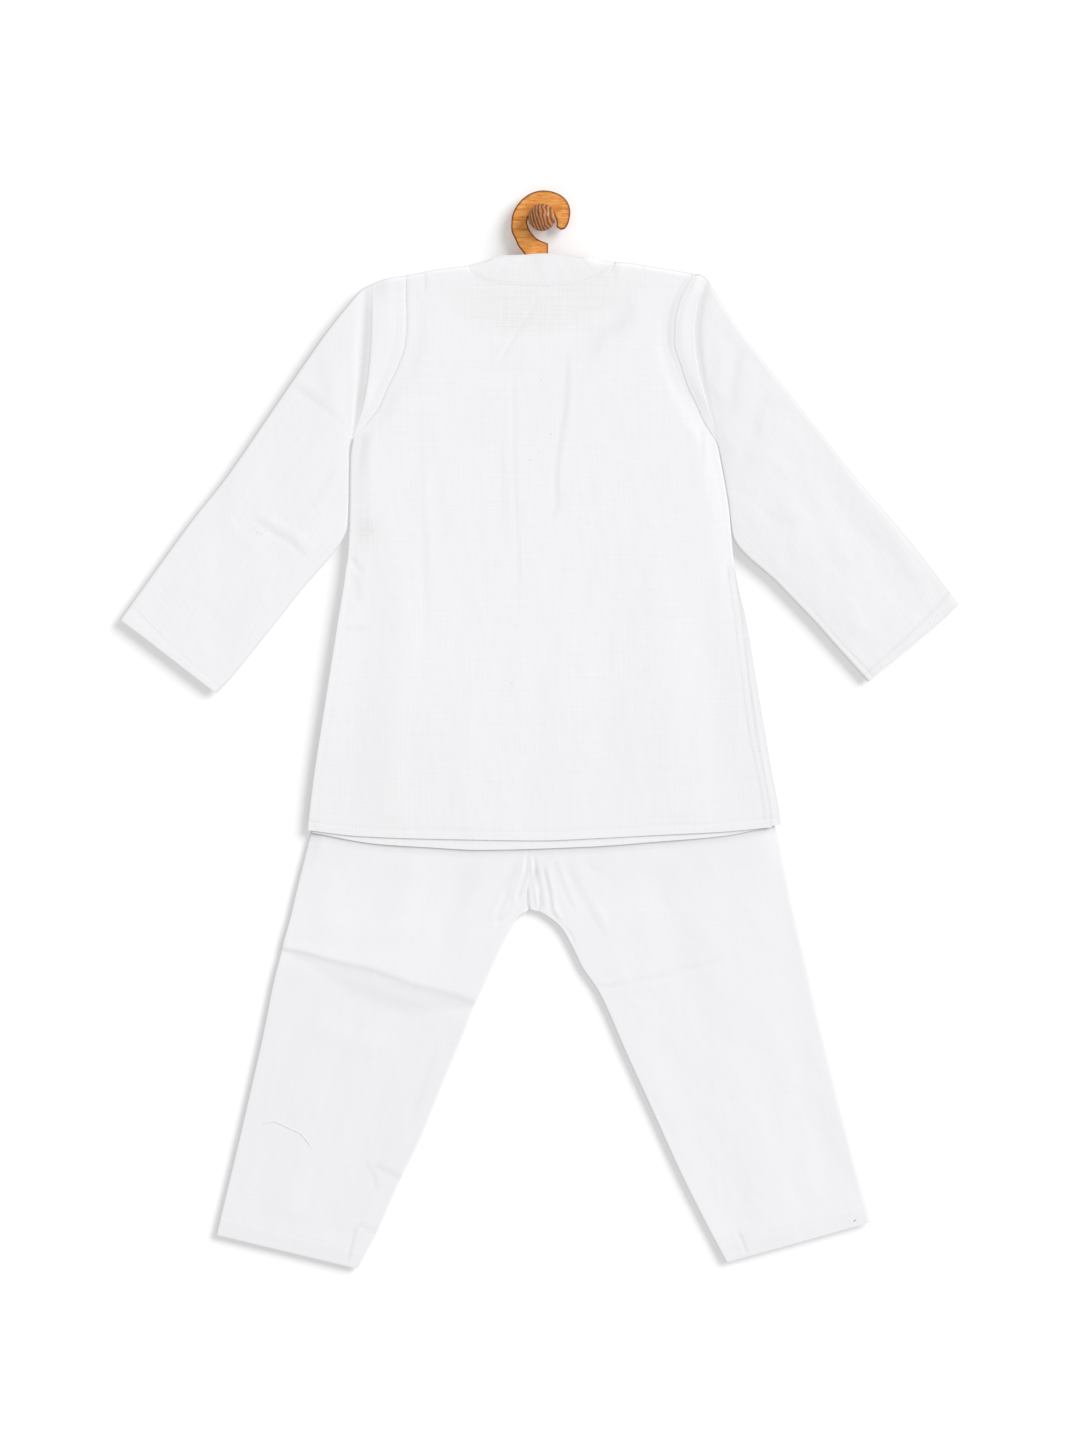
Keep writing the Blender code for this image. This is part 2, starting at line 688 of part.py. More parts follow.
def waistband_grids(left, right):
    """The casing stands on the legs' top edges and runs all round, open at the middle
    of the side toward the wall."""

    def round_waist(left_loop, right_loop, lift):
        loop = list(reversed(left_loop)) + list(right_loop[1:])
        half = WAIST_LOW - WAIST_DOWN
        return [(x * (1 - 0.02 * lift), d - SEAM_GAP - half * lift, y) for x, d, y in loop]

    outer = [round_waist(left[0][0], right[0][0], lift) for lift in (0.0, 1.0)]
    inner = [round_waist(left[1][0], right[1][0], lift) for lift in (0.0, 1.0)]
    return outer, inner


# ---------------------------------------------------------------- hard pieces
def hanger_outline():
    points = []
    for turn in HOOK_OUTER:
        a = math.radians(turn.degrees)
        points.append(
            (turn.radius * math.cos(a), HOOK_DOWN - turn.radius * math.sin(a))
        )
    points += [(p.x, p.down) for p in ARMS]
    points += [(p.x, p.down) for p in reversed(HOOK_THROAT)]
    for i in range(HOOK_INNER_STEPS, -1, -1):
        a = math.radians(
            HOOK_INNER_FROM + (HOOK_INNER_TO - HOOK_INNER_FROM) * i / HOOK_INNER_STEPS
        )
        points.append((HOOK_R * math.cos(a), HOOK_DOWN - HOOK_R * math.sin(a)))
    return points


def board(name, outline, depth, thickness, bevel, material):
    """A flat board cut to an outline, standing parallel to the wall."""
    curve = bpy.data.curves.new(name, "CURVE")
    curve.dimensions = "2D"
    curve.fill_mode = "BOTH"
    curve.extrude = thickness / 2 * MM
    spline = curve.splines.new("POLY")
    spline.points.add(len(outline) - 1)
    for point, (x, down) in zip(spline.points, outline):
        point.co = (x * MM, -down * MM, 0.0, 1.0)
    spline.use_cyclic_u = True
    obj = bpy.data.objects.new(name, curve)
    curve.materials.append(material)
    obj.rotation_euler = (math.pi / 2, 0.0, 0.0)
    obj.location = (0.0, -depth * MM, 0.0)
    PARTS.objects.link(obj)
    weld = obj.modifiers.new("weld", "WELD")
    weld.merge_threshold = 0.00001
    edge = obj.modifiers.new("edge", "BEVEL")
    edge.width = bevel * MM
    edge.segments = 1
    edge.limit_method = "ANGLE"
    edge.angle_limit = math.radians(50)
    return obj


def knob(material):
    """Turned on a lathe: a straight neck from the wall and a ball on its end."""
    reach = math.sqrt(KNOB_R**2 - KNOB_NECK_R**2)
    centre = KNOB_NECK + reach
    profile = [(0.0, centre + KNOB_R)]
    lowest = math.degrees(math.atan2(-reach, KNOB_NECK_R))
    steps = 9
    for i in range(1, steps + 1):
        a = math.radians(90 + (lowest - 90) * i / steps)
        profile.append((KNOB_R * math.cos(a), centre + KNOB_R * math.sin(a)))
    profile += [(KNOB_NECK_R, 0.0), (0.0, 0.0)]
    data = bpy.data.meshes.new("wall_knob")
    data.from_pydata(
        [(x * MM, 0.0, z * MM) for x, z in profile],
        [(i, i + 1) for i in range(len(profile) - 1)],
        [],
    )
    obj = place("wall_knob", data, material)
    obj.rotation_euler = (math.pi / 2, 0.0, 0.0)
    turn = obj.modifiers.new("turn", "SCREW")
    turn.steps = turn.render_steps = 20
    turn.use_merge_vertices = True
    turn.merge_threshold = 0.00001
    return obj


def button(name, down, depth, material):
    bpy.ops.mesh.primitive_cylinder_add(
        vertices=14,
        radius=BUTTON_R * MM,
        depth=BUTTON_T * MM,
        location=xyz(0.0, down, depth),
        rotation=(math.pi / 2, 0.0, 0.0),
    )
    obj = bpy.context.object
    obj.name = name
    obj.data.materials.append(material)
    for collection in obj.users_collection:
        collection.objects.unlink(obj)
    PARTS.objects.link(obj)
    return obj


# ---------------------------------------------------------------- build
for old in list(bpy.data.objects):
    bpy.data.objects.remove(old, do_unlink=True)

PARTS = bpy.data.collections.new("kurta_pyjama_set")
bpy.context.scene.collection.children.link(PARTS)

KURTA = make_material("kurta_cotton", (0.84, 0.845, 0.86), 0.85, 0.1)
PYJAMA = make_material("pyjama_cotton", (0.86, 0.865, 0.875), 0.8, 0.1)
HANGER_WOOD = make_material("hanger_wood", (0.62, 0.27, 0.09), 0.55)
KNOB_WOOD = make_material("knob_wood", (0.31, 0.13, 0.07), 0.45)
BUTTON = make_material("button_white", (0.8, 0.79, 0.75), 0.35)

back_outer, back_inner = body_grid(front=False)
front_outer, front_inner = body_grid(front=True)
wall_solid("kurta_back", back_outer, back_inner, KURTA)
wall_solid("kurta_front", front_outer, front_inner, KURTA)
wall_solid("collar", *collar_grids(back_outer, front_outer), KURTA)

left_armhole = [(r.left, r.left_down) for r in BODY[: ARMPIT + 1]]
right_armhole = [(r.right, r.right_down) for r in BODY[: ARMPIT + 1]]
wall_solid("sleeve_left", *sleeve_grids(LEFT_SLEEVE, left_armhole, -1), KURTA)
wall_solid("sleeve_right", *sleeve_grids(RIGHT_SLEEVE, right_armhole, 1), KURTA)

placket_outer, placket_inner = placket_grids(front_outer)
wall_solid("placket", placket_outer, placket_inner, KURTA)
for number, button_down in enumerate(BUTTON_DOWNS, 1):
    strip = [row[len(row) // 2] for row in placket_outer]
    face = float(np.interp(button_down, [p[1] for p in strip], [p[2] for p in strip]))
    button(f"button_{number}", button_down, face - 0.4 - BUTTON_T / 2, BUTTON)

left_leg, right_leg = leg_grids(LEFT_LEG), leg_grids(RIGHT_LEG)
wall_solid("pyjama_leg_left", *left_leg, PYJAMA)
wall_solid("pyjama_leg_right", *right_leg, PYJAMA)
wall_solid("pyjama_waistband", *waistband_grids(left_leg, right_leg), PYJAMA)

board("hanger", hanger_outline(), BOARD_MID, BOARD, 0.5, HANGER_WOOD)
knob(KNOB_WOOD)
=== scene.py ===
"""Looks for the kurta pyjama set: thin cloth shells, seams, stitches, wood and light,
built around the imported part. Sizes are in millimetres: x to the viewer's right, down
below the knob's centre, out from the wall toward the viewer."""

import math

import bpy
import numpy as np
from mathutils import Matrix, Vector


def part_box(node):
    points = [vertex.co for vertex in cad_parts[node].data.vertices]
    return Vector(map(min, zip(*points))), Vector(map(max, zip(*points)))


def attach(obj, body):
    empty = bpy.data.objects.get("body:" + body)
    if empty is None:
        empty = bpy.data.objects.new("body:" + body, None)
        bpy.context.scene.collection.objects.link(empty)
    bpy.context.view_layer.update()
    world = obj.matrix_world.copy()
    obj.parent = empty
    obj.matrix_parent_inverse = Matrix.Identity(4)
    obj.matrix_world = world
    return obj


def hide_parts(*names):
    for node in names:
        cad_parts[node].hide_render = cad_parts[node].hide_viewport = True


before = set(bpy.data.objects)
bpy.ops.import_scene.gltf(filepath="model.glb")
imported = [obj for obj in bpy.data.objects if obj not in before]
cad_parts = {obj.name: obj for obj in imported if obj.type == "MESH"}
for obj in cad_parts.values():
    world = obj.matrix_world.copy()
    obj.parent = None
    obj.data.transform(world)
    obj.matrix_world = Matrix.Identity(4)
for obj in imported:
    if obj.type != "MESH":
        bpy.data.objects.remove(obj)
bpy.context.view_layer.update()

MM = 0.001

# ---------------------------------------------------------------- sizes, mm
CLOTH = 0.6  # shell of one layer
EDGE = 1.4
OVER_BOARD = 4.65
BOARD = 6.0
BOARD_MID = 9.6
BOARD_LOW = 115.0
KURTA_MID_HEM, KURTA_HEM_DOWN = 8.2, 555.0
SLEEVE_MID_CUFF = 7.0
LEG_MID_TOP, LEG_MID_HEM, LEG_HALF = 3.9, 5.0, 1.85
NECK_LEFT, NECK_RIGHT = -66.7, 65.8

# across the body: left x, down, right x, down, half thickness there, front panel's edges
BODY = (
    (-121.9, 51.1, 135.5, 49.6, 1.4, None, None),
    (-121.9, 55.1, 134.0, 53.6, 4.65, None, None),
    (-121.8, 74.0, 124.3, 72.7, 4.65, None, None),
    (-121.4, 93.0, 119.3, 93.4, 4.65, None, None),
    (-123.2, 114.0, 118.8, 112.0, 4.3, None, None),
    (-130.2, 135.0, 125.0, 134.0, 3.7, None, None),
    (-139.5, 154.0, 131.1, 152.0, 3.0, None, None),
    (-146.9, 171.0, 138.8, 168.0, 2.4, None, None),
    (-158.3, 185.2, 146.6, 185.0, 1.9, None, None),
    (-170.0, 198.0, 156.7, 199.6, 1.4, None, None),
    (-172.7, 221.0, 161.2, 221.0, 1.4, None, None),
    (-173.1, 262.0, 168.2, 262.0, 1.4, None, None),
    (-175.8, 311.0, 172.6, 309.0, 1.4, None, None),
    (-183.3, 361.6, 180.1, 364.0, 1.6, -182.5, 184.3),
    (-192.0, 417.0, 186.4, 417.0, 1.6, -190.5, 193.2),
    (-198.6, 459.0, 192.2, 461.0, 1.6, -196.5, 200.6),
    (-204.4, 497.0, 199.5, 497.0, 1.6, -201.5, 206.6),
    (-208.7, 531.0, 205.4, 530.0, 1.6, -205.0, 213.0),
    (-210.8, 550.8, 207.0, 548.2, 1.6, -206.5, 215.5),
)
ARMPIT = 9
SLIT_DOWN = 311.0
SHOULDERS = ((-121.9, 51.1), (-105.8, 48.0), (-91.7, 45.4), (-66.7, 42.9), (65.8, 39.2), (102.1, 43.9), (135.5, 49.6))
NECK_BACK = ((-66.7, 42.9), (-65.0, 44.6), (-60.0, 48.4), (-50.0, 54.0), (-34.0, 57.5), (0.0, 59.2), (34.0, 57.0), (50.0, 52.5), (60.0, 45.6), (64.2, 41.4), (65.8, 39.2))
NECK_FRONT = ((-66.7, 42.9), (-65.0, 49.0), (-60.0, 72.0), (-50.0, 90.0), (-34.0, 102.5), (0.0, 109.6), (34.0, 102.5), (50.0, 90.0), (60.0, 71.0), (64.2, 46.0), (65.8, 39.2))
COLLAR_BACK = ((-45.1, 36.5), (-35.5, 33.7), (-15.4, 32.9), (0.0, 31.8), (16.3, 32.0), (28.8, 34.0), (45.1, 36.3))
COLLAR_FRONT = ((-45.1, 36.5), (-44.2, 42.0), (-40.8, 54.0), (-34.0, 70.0), (-23.0, 81.0), (0.0, 88.0), (23.0, 81.0), (34.0, 70.0), (40.8, 54.0), (43.7, 41.0), (45.1, 36.3))
HEM_BACK = ((-210.8, 550.8), (-164.7, 556.2), (-105.8, 558.5), (0.0, 560.1), (43.0, 558.4), (102.8, 555.3), (162.5, 552.3), (207.0, 548.2))
HEM_FRONT = ((-206.5, 553.0), (-149.2, 563.2), (-102.7, 566.3), (-56.3, 568.6), (43.0, 565.7), (102.8, 561.3), (162.5, 556.1), (215.5, 545.5))
CORE = ((40, 4.65), (115, 4.65), (150, 4.2), (200, 3.3), (262, 2.7), (311, 2.3), (364, 1.85), (470, 1.2), (540, 0.85), (560, 0.75))
# beside the armholes: down, width of the sunk band, its shade on the right, on the left
ARM_BANDS = ((50, 5.0, 0.10, 0.16), (75, 6.2, 0.22, 0.26), (110, 6.4, 0.22, 0.24), (136, 4.6, 0.18, 0.26), (164, 2.8, 0.18, 0.34), (190, 1.6, 0.10, 0.14))

# a sleeve's sections: fold x, down; two points across; sewn edge; half toward viewer, wall
LEFT_SLEEVE = (
    (-152.5, 58.8, -153.4, 110.0, -158.6, 158.5, -172.8, 202.6, 5.0, 4.4),
    (-160.8, 62.8, -163.0, 114.0, -167.0, 162.5, -173.6, 210.5, 2.4, 4.1),
    (-175.8, 79.1, -175.5, 125.0, -173.5, 172.0, -173.8, 223.0, 3.2, 3.6),
    (-190.7, 97.5, -188.0, 150.0, -181.5, 200.0, -174.1, 252.0, 3.3, 3.2),
    (-217.0, 134.4, -207.0, 185.0, -193.0, 230.0, -175.0, 276.5, 3.0, 2.8),
    (-252.0, 185.8, -243.5, 235.0, -233.0, 285.0, -218.6, 337.1, 2.6, 2.5),
    (-286.6, 235.6, -277.0, 283.0, -265.5, 330.0, -246.0, 371.8, 2.4, 2.3),
    (-314.1, 270.0, -303.0, 314.0, -287.0, 356.0, -266.0, 396.9, 2.2, 2.1),
    (-350.0, 319.2, -331.0, 353.0, -308.0, 385.0, -280.0, 413.9, 2.0, 2.0),
    (-380.1, 361.0, -352.0, 382.0, -323.0, 404.5, -293.2, 427.4, 1.9, 1.9),
)
RIGHT_SLEEVE = (
    (149.1, 55.2, 136.6, 108.0, 146.5, 160.5, 159.3, 206.0, 5.1, 4.4),
    (153.6, 62.0, 144.5, 112.0, 152.0, 164.0, 160.6, 213.0, 2.5, 4.1),
    (165.1, 81.6, 160.0, 130.0, 160.5, 178.0, 163.6, 228.5, 3.3, 3.6),
    (178.3, 101.3, 175.0, 152.0, 169.5, 204.0, 168.6, 258.0, 3.3, 3.2),
    (205.0, 135.1, 197.0, 185.0, 186.0, 235.0, 171.5, 285.5, 3.0, 2.8),
    (243.0, 183.1, 236.5, 236.0, 226.5, 285.0, 213.0, 329.6, 2.6, 2.5),
    (284.5, 235.6, 275.5, 281.0, 262.5, 325.0, 245.5, 363.7, 2.4, 2.3),
    (319.1, 275.8, 305.0, 318.0, 286.0, 357.0, 262.0, 382.2, 2.2, 2.1),
    (350.0, 313.9, 329.0, 347.0, 305.0, 377.0, 279.5, 401.7, 2.0, 2.0),
    (375.3, 348.1, 349.0, 371.0, 321.0, 394.0, 293.4, 417.2, 1.9, 1.9),
)
PLEAT_TOPS = {-1: (-138.0, 53.6), 1: (142.3, 50.3)}
AT_SEAM = (0.0, 1.0, 1.0, 1.0, 0.9, 0.7, 0.5, 0.3, 0.15, 0.0)
ALONG_ARM = (0.0, 0.8, 1.0, 1.0, 1.0, 0.97, 0.9, 0.75, 0.45, 0.0)

# a leg's sections: outer fold x, down; inner edge x, down; half thickness
LEFT_LEG = (
    (-173.6, 424.6, -12.0, 424.6, 1.85),
    (-187.0, 470.0, -12.0, 471.5, 1.85),
    (-199.7, 519.0, -12.0, 523.6, 1.85),
    (-210.5, 561.4, -12.0, 575.8, 1.85),
    (-223.1, 611.0, -12.0, 622.0, 2.2),
    (-226.7, 627.0, -20.6, 628.5, 2.4),
    (-231.0, 642.5, -32.0, 647.0, 2.8),
    (-234.4, 654.5, -55.0, 697.0, 4.2),
    (-235.3, 659.5, -59.8, 706.5, 1.7),
    (-242.0, 685.6, -71.0, 735.0, 2.1),
    (-252.0, 735.0, -91.7, 784.6, 2.3),
    (-261.0, 775.6, -109.7, 829.4, 2.2),
    (-273.3, 829.4, -128.0, 866.5, 2.0),
    (-284.4, 876.2, -148.7, 913.3, 1.85),
    (-293.8, 915.1, -165.9, 945.7, 1.85),
)
RIGHT_LEG = (
    (181.9, 424.6, -11.6, 424.6, 1.85),
    (191.8, 470.0, -11.6, 471.5, 1.85),
    (202.6, 519.0, -11.6, 523.6, 1.85),
    (212.5, 557.8, -11.6, 575.8, 1.85),
    (223.3, 609.0, -11.6, 621.5, 2.2),
    (227.8, 629.0, -2.2, 624.6, 2.4),
    (233.2, 651.4, 15.0, 637.0, 2.4),
    (238.0, 672.0, 25.5, 653.5, 2.3),
    (243.0, 695.0, 36.0, 675.0, 2.3),
    (250.3, 726.0, 49.6, 694.6, 2.3),
    (262.5, 775.6, 77.3, 756.0, 2.3),
    (274.6, 823.3, 100.9, 807.5, 2.2),
    (284.7, 863.8, 124.3, 859.0, 2.0),
    (291.1, 886.5, 149.6, 909.4, 1.85),
    (295.7, 904.3, 166.0, 940.3, 1.85),
)
CROTCH_DOWN = 624.0
WAIST_DOWN, WAIST_LOW = 403.0, 424.2

PLACKET_HALF = 17.0
PLACKET_END, PLACKET_POINT = 262.0, 279.0
BUTTON_R, BUTTON_T = 5.5, 2.2
BUTTON_DOWNS = (132.0, 180.0, 228.0)

KNOB_R, KNOB_NECK_R = 12.4, 8.5
KNOB_NECK = BOARD_MID + BOARD / 2 + 0.8
HOOK_R, HOOK_DOWN = 13.3, 4.4
HOOK_OUTER = ((-19, 17.6), (-15, 20.6), (-9, 22.2), (1, 23.9), (17, 26.6), (29, 28.7), (43, 30.1), (57, 30.3), (73, 29.8), (91, 29.3), (107, 28.7), (124, 28.0), (143, 27.5), (164, 27.5), (184, 27.6), (196, 28.2), (212, 28.0), (224, 29.5), (241, 31.8))
HOOK_THROAT = ((-10.7, 11.3), (-4.3, 18.5), (5.5, 22.9))
ARMS = ((-15.6, 42.0), (-40.0, 44.5), (-55.0, 50.0), (-66.7, 54.0), (-91.7, 51.8), (-121.9, 56.4), (-138.0, 59.6), (-142.5, 62.5), (-142.5, 67.0), (-141.0, 70.5), (-100.0, 68.0), (-86.0, 80.0), (-64.0, 97.0), (-38.0, 105.0), (0.0, 104.0), (36.0, 98.0), (64.0, 86.0), (82.0, 73.0), (100.0, 66.5), (134.0, 68.5), (139.5, 65.0), (139.5, 60.5), (135.0, 57.0), (102.1, 49.4), (65.8, 49.0), (55.0, 46.5), (40.0, 43.0), (5.5, 42.0))

# ---------------------------------------------------------------- folds
# Each fold is a path, its width on the path's right and left sides, its rise (+ toward
# the viewer), how much shade is painted along it, and how far its ends fade.
def fold(path, right, left, rise, shade=0.0, ends=(0.3, 0.3)):
    return {"path": np.array(path, float), "right": right, "left": left, "rise": rise, "shade": shade, "ends": ends}


BACK_FOLDS = (
    # the sharp crease below the left of the neck, and the trough beside it
    fold([(4, 62), (-15, 86), (-33, 113), (-41, 130), (-47, 146)], 2.2, 5, 0.27, 0.00, (0.2, 0.35)),
    fold([(0, 64), (-13, 89), (-30, 114), (-38, 131), (-43, 148)], 3, 1.2, -0.23, 0.12, (0.2, 0.35)),
    # the soft fold that runs down from the right of the neck
    fold([(80, 66), (76, 85), (66, 99), (51, 107), (43, 122), (35, 136)], 8.5, 9.5, -0.38, 0.13, (0.25, 0.35)),
    fold([(92, 70), (85, 92), (72, 108), (56, 118), (46, 134), (38, 150)], 9, 6, 0.33),
    fold([(58, 84), (46, 100), (36, 122), (30, 140)], 5, 5, 0.20),
    # the edge of what lies behind, straight down the middle
    fold([(23, 116), (21.5, 165), (14, 214), (12.5, 236), (13.5, 262), (5, 278)], 2.6, 1.9, -0.17, 0.17, (0.15, 0.15)),
    fold([(27, 116), (26, 165), (19, 214), (17.5, 240), (18, 262)], 3.0, 2.2, 0.12, 0.00, (0.2, 0.3)),
    fold([(-24, 118), (-26, 160), (-24, 230), (-21, 300), (-22, 400)], 1.7, 2.2, -0.12, 0.08, (0.15, 0.4)),
    fold([(-29, 118), (-31, 170), (-30, 240), (-27, 310)], 2.2, 2.6, 0.11),
    fold([(-37, 190), (-35.5, 240), (-33, 308)], 1.5, 1.5, -0.07, 0.07),
    fold([(-110, 160), (-108, 250), (-105, 340), (-105, 425)], 2.2, 3.0, -0.12, 0.05),
    fold([(-104, 160), (-102, 250), (-99, 340), (-99, 425)], 3.0, 3.0, 0.08),
    fold([(-92, 137), (-40, 136), (16, 137)], 1.5, 1.5, -0.05, 0.04),
    # by the armholes
    fold([(-108, 60), (-110, 90), (-112, 120), (-121, 146), (-131, 166)], 7, 7, -0.33, 0.03, (0.3, 0.3)),
    fold([(118, 66), (109, 90), (108, 112), (114, 138), (124, 160), (136, 182)], 6, 6, -0.33, 0.03, (0.2, 0.3)),
    fold([(-160, 190), (-163, 215), (-166, 236)], 4, 3, -0.33, 0.10, (0.25, 0.4)),
    fold([(143.5, 190), (144, 212), (143, 228)], 2.2, 2.2, -0.33, 0.12, (0.1, 0.4)),
    # small marks at the shoulders
    fold([(-106, 47), (-105, 58), (-105.5, 69)], 1.6, 1.6, -0.23, 0.16, (0.05, 0.4)),
    fold([(66, 38), (63, 46), (60, 53)], 1.6, 2.0, -0.20, 0.12, (0.02, 0.5)),
    fold([(72, 40), (69, 50), (66, 58)], 3, 3, 0.29, 0.00, (0.05, 0.5)),
    fold([(90.5, 42), (91, 50)], 1.4, 1.4, -0.26, 0.14, (0.02, 0.5)),
    # the slits
    fold([(-172, 305), (-166, 315), (-160, 322)], 2.5, 2.5, -0.39, 0.10, (0.1, 0.4)),
    fold([(-170, 318), (-167, 333), (-164, 352)], 3.5, 3.5, -0.26, 0.07),
    fold([(-178, 371), (-165, 370), (-152, 369)], 2, 2.4, -0.26, 0.10, (0.1, 0.5)),
    fold([(172, 312), (166, 322), (160, 330)], 2.5, 2.5, -0.26, 0.07, (0.1, 0.5)),
    # broad soft drape
    fold([(-150, 240), (-158, 360), (-172, 470), (-186, 548)], 17, 17, -0.55, 0.00, (0.3, 0.1)),
    fold([(-122, 260), (-128, 380), (-140, 548)], 15, 15, 0.50, 0.00, (0.4, 0.05)),
    fold([(95, 230), (106, 350), (122, 548)], 20, 20, 0.50, 0.00, (0.4, 0.05)),
    fold([(140, 290), (152, 400), (168, 548)], 14, 14, -0.50, 0.00, (0.4, 0.05)),
    fold([(50, 300), (54, 420), (60, 556)], 18, 18, -0.40, 0.00, (0.4, 0.05)),
    fold([(-60, 330), (-64, 450), (-72, 557)], 20, 20, 0.35, 0.00, (0.4, 0.05)),
    fold([(0, 330), (-4, 440), (-10, 558)], 15, 15, -0.30, 0.00, (0.4, 0.05)),
)
FRONT_FOLDS = (
    fold([(-80, 66), (-70, 96), (-52, 112), (-38, 138)], 5, 6.5, -0.39, 0.10, (0.2, 0.3)),
    fold([(84, 60), (72, 92), (58, 110), (44, 140)], 6, 6.5, -0.39, 0.10, (0.2, 0.3)),
    fold([(-50, 150), (-56, 240), (-60, 330)], 3, 5, 0.23),
    fold([(46, 170), (52, 250), (50, 360)], 5, 3, 0.23),
    fold([(-108, 170), (-104, 300), (-100, 420)], 4, 4, -0.20, 0.05),
    fold([(108, 160), (106, 280), (110, 400)], 4, 4, -0.20, 0.05),
    fold([(-150, 240), (-160, 360), (-186, 548)], 17, 17, -0.50, 0.00, (0.3, 0.1)),
    fold([(-110, 280), (-118, 400), (-130, 556)], 16, 16, 0.50, 0.00, (0.4, 0.05)),
    fold([(120, 250), (128, 380), (146, 550)], 18, 18, 0.50, 0.00, (0.4, 0.05)),
    fold([(70, 300), (72, 420), (76, 558)], 16, 16, -0.40, 0.00, (0.4, 0.05)),
    fold([(-40, 320), (-44, 440), (-52, 562)], 18, 18, -0.35, 0.00, (0.4, 0.05)),
    fold([(0, 285), (2, 340), (0, 420)], 6, 6, 0.26, 0.00, (0.1, 0.5)),
)
LEFT_SLEEVE_FOLDS = (
    fold([(-266, 265), (-246, 280), (-226, 292), (-205, 312)], 3, 2.2, -0.32, 0.14, (0.25, 0.3)),
    fold([(-262, 258), (-242, 273), (-221, 286), (-200, 306)], 4, 4.5, 0.23),
    fold([(-231, 146), (-212, 160), (-192, 174), (-178, 186)], 3.5, 3, -0.23, 0.10),
    fold([(-228, 138), (-208, 152), (-188, 166)], 5, 5, 0.18),
    fold([(-196, 110), (-190, 140), (-187, 170)], 6, 6, 0.18),
    fold([(-240, 190), (-262, 230), (-290, 280), (-330, 345)], 13, 13, 0.32, 0.00, (0.3, 0.1)),
    fold([(-205, 220), (-232, 280), (-262, 330), (-300, 395)], 12, 12, -0.32, 0.00, (0.3, 0.1)),
    fold([(-290, 262), (-272, 286), (-250, 304)], 4, 4, 0.16),
    fold([(-330, 330), (-306, 346), (-286, 372)], 5, 5, -0.14, 0.03),
    fold([(-186, 220), (-196, 240), (-214, 268)], 4, 4, -0.23, 0.07),
)
RIGHT_SLEEVE_FOLDS = (
    fold([(170, 92), (164, 122), (158, 150), (160, 180)], 5, 6, 0.23),
    fold([(182, 110), (176, 136), (170, 166), (168, 196)], 5, 5, -0.20, 0.09, (0.2, 0.4)),
    fold([(210, 150), (196, 176), (186, 210), (180, 246)], 6, 6, -0.20, 0.07),
    fold([(220, 166), (208, 196), (198, 226), (192, 262)], 7, 7, 0.20),
    fold([(205, 240), (236, 290), (266, 336), (292, 384)], 11, 11, 0.32, 0.00, (0.3, 0.1)),
    fold([(236, 200), (262, 246), (296, 296), (330, 346)], 13, 13, -0.32, 0.00, (0.3, 0.1)),
    fold([(262, 214), (296, 260), (330, 306), (352, 334)], 10, 10, 0.28, 0.00, (0.3, 0.1)),
    fold([(196, 262), (212, 272), (232, 276)], 4, 4, -0.18, 0.07),
    fold([(240, 300), (262, 312), (290, 312)], 4, 5, -0.11, 0.03),
)
LEFT_LEG_FOLDS = (
    # the fan of narrow wrinkles above the crotch
    fold([(-12.2, 572), (-14.7, 590), (-19.5, 605), (-22, 614)], 1.7, 2.2, -0.42, 0.16, (0.2, 0.1)),
    fold([(-15, 572), (-18, 590), (-23, 605), (-27, 616)], 2.4, 2.4, 0.40, 0.0, (0.2, 0.1)),
    fold([(-12.6, 602), (-13.4, 612), (-12.6, 622)], 1.2, 1.0, -0.5, 0.55, (0.2, 0.1)),
    fold([(-28, 602), (-38.9, 624), (-38, 636)], 1.8, 2.2, -0.40, 0.10, (0.25, 0.2)),
    fold([(-32, 600), (-43, 622), (-44, 640)], 2.6, 3.2, 0.38, 0.0, (0.25, 0.2)),
    fold([(-22, 578), (-30, 596), (-41, 612)], 2.6, 3.0, -0.30, 0.08, (0.3, 0.3)),
    fold([(-46, 629), (-38, 630), (-31, 628)], 1.2, 1.4, -0.25, 0.14, (0.3, 0.2)),
    fold([(-20, 612), (-25, 618), (-31, 628)], 1.2, 1.2, 0.25, 0.0, (0.3, 0.2)),
    # soft shade from the waist down beside the crotch, and the drape below
    fold([(-64, 580), (-82, 620), (-94, 668)], 12.0, 10.0, -0.55, 0.03, (0.25, 0.3)),
    fold([(-110, 570), (-124, 620), (-132, 664)], 12.0, 12.0, 0.40, 0.0, (0.2, 0.3)),
    fold([(-190, 585), (-196, 622), (-204, 648)], 14.0, 14.0, 0.35, 0.0, (0.2, 0.3)),
    fold([(-196, 690), (-150, 706), (-100, 716)], 9.0, 12.0, -0.30, 0.03, (0.3, 0.3)),
    fold([(-216, 720), (-170, 742), (-118, 752)], 11.0, 11.0, 0.35, 0.0, (0.3, 0.3)),
    fold([(-155, 850), (-140, 858), (-124, 866)], 2.2, 3.0, -0.35, 0.16, (0.3, 0.1)),
    fold([(-162, 846), (-152, 862), (-148, 880)], 2.4, 2.4, -0.30, 0.12, (0.3, 0.3)),
    fold([(-169, 903), (-158, 910), (-147, 914)], 1.8, 1.8, -0.35, 0.14, (0.3, 0.1)),
    fold([(-196, 760), (-212, 830), (-232, 905)], 20.0, 20.0, 0.45, 0.0, (0.3, 0.1)),
    fold([(-128, 760), (-150, 820), (-176, 890), (-190, 925)], 15.0, 15.0, -0.40, 0.02, (0.3, 0.1)),
    fold([(-92, 740), (-108, 780), (-122, 820)], 4.0, 6.0, -0.30, 0.06, (0.3, 0.3)),
    fold([(-167, 906), (-171, 922), (-175, 940)], 1.6, 1.6, -0.30, 0.22, (0.1, 0.1)),
)
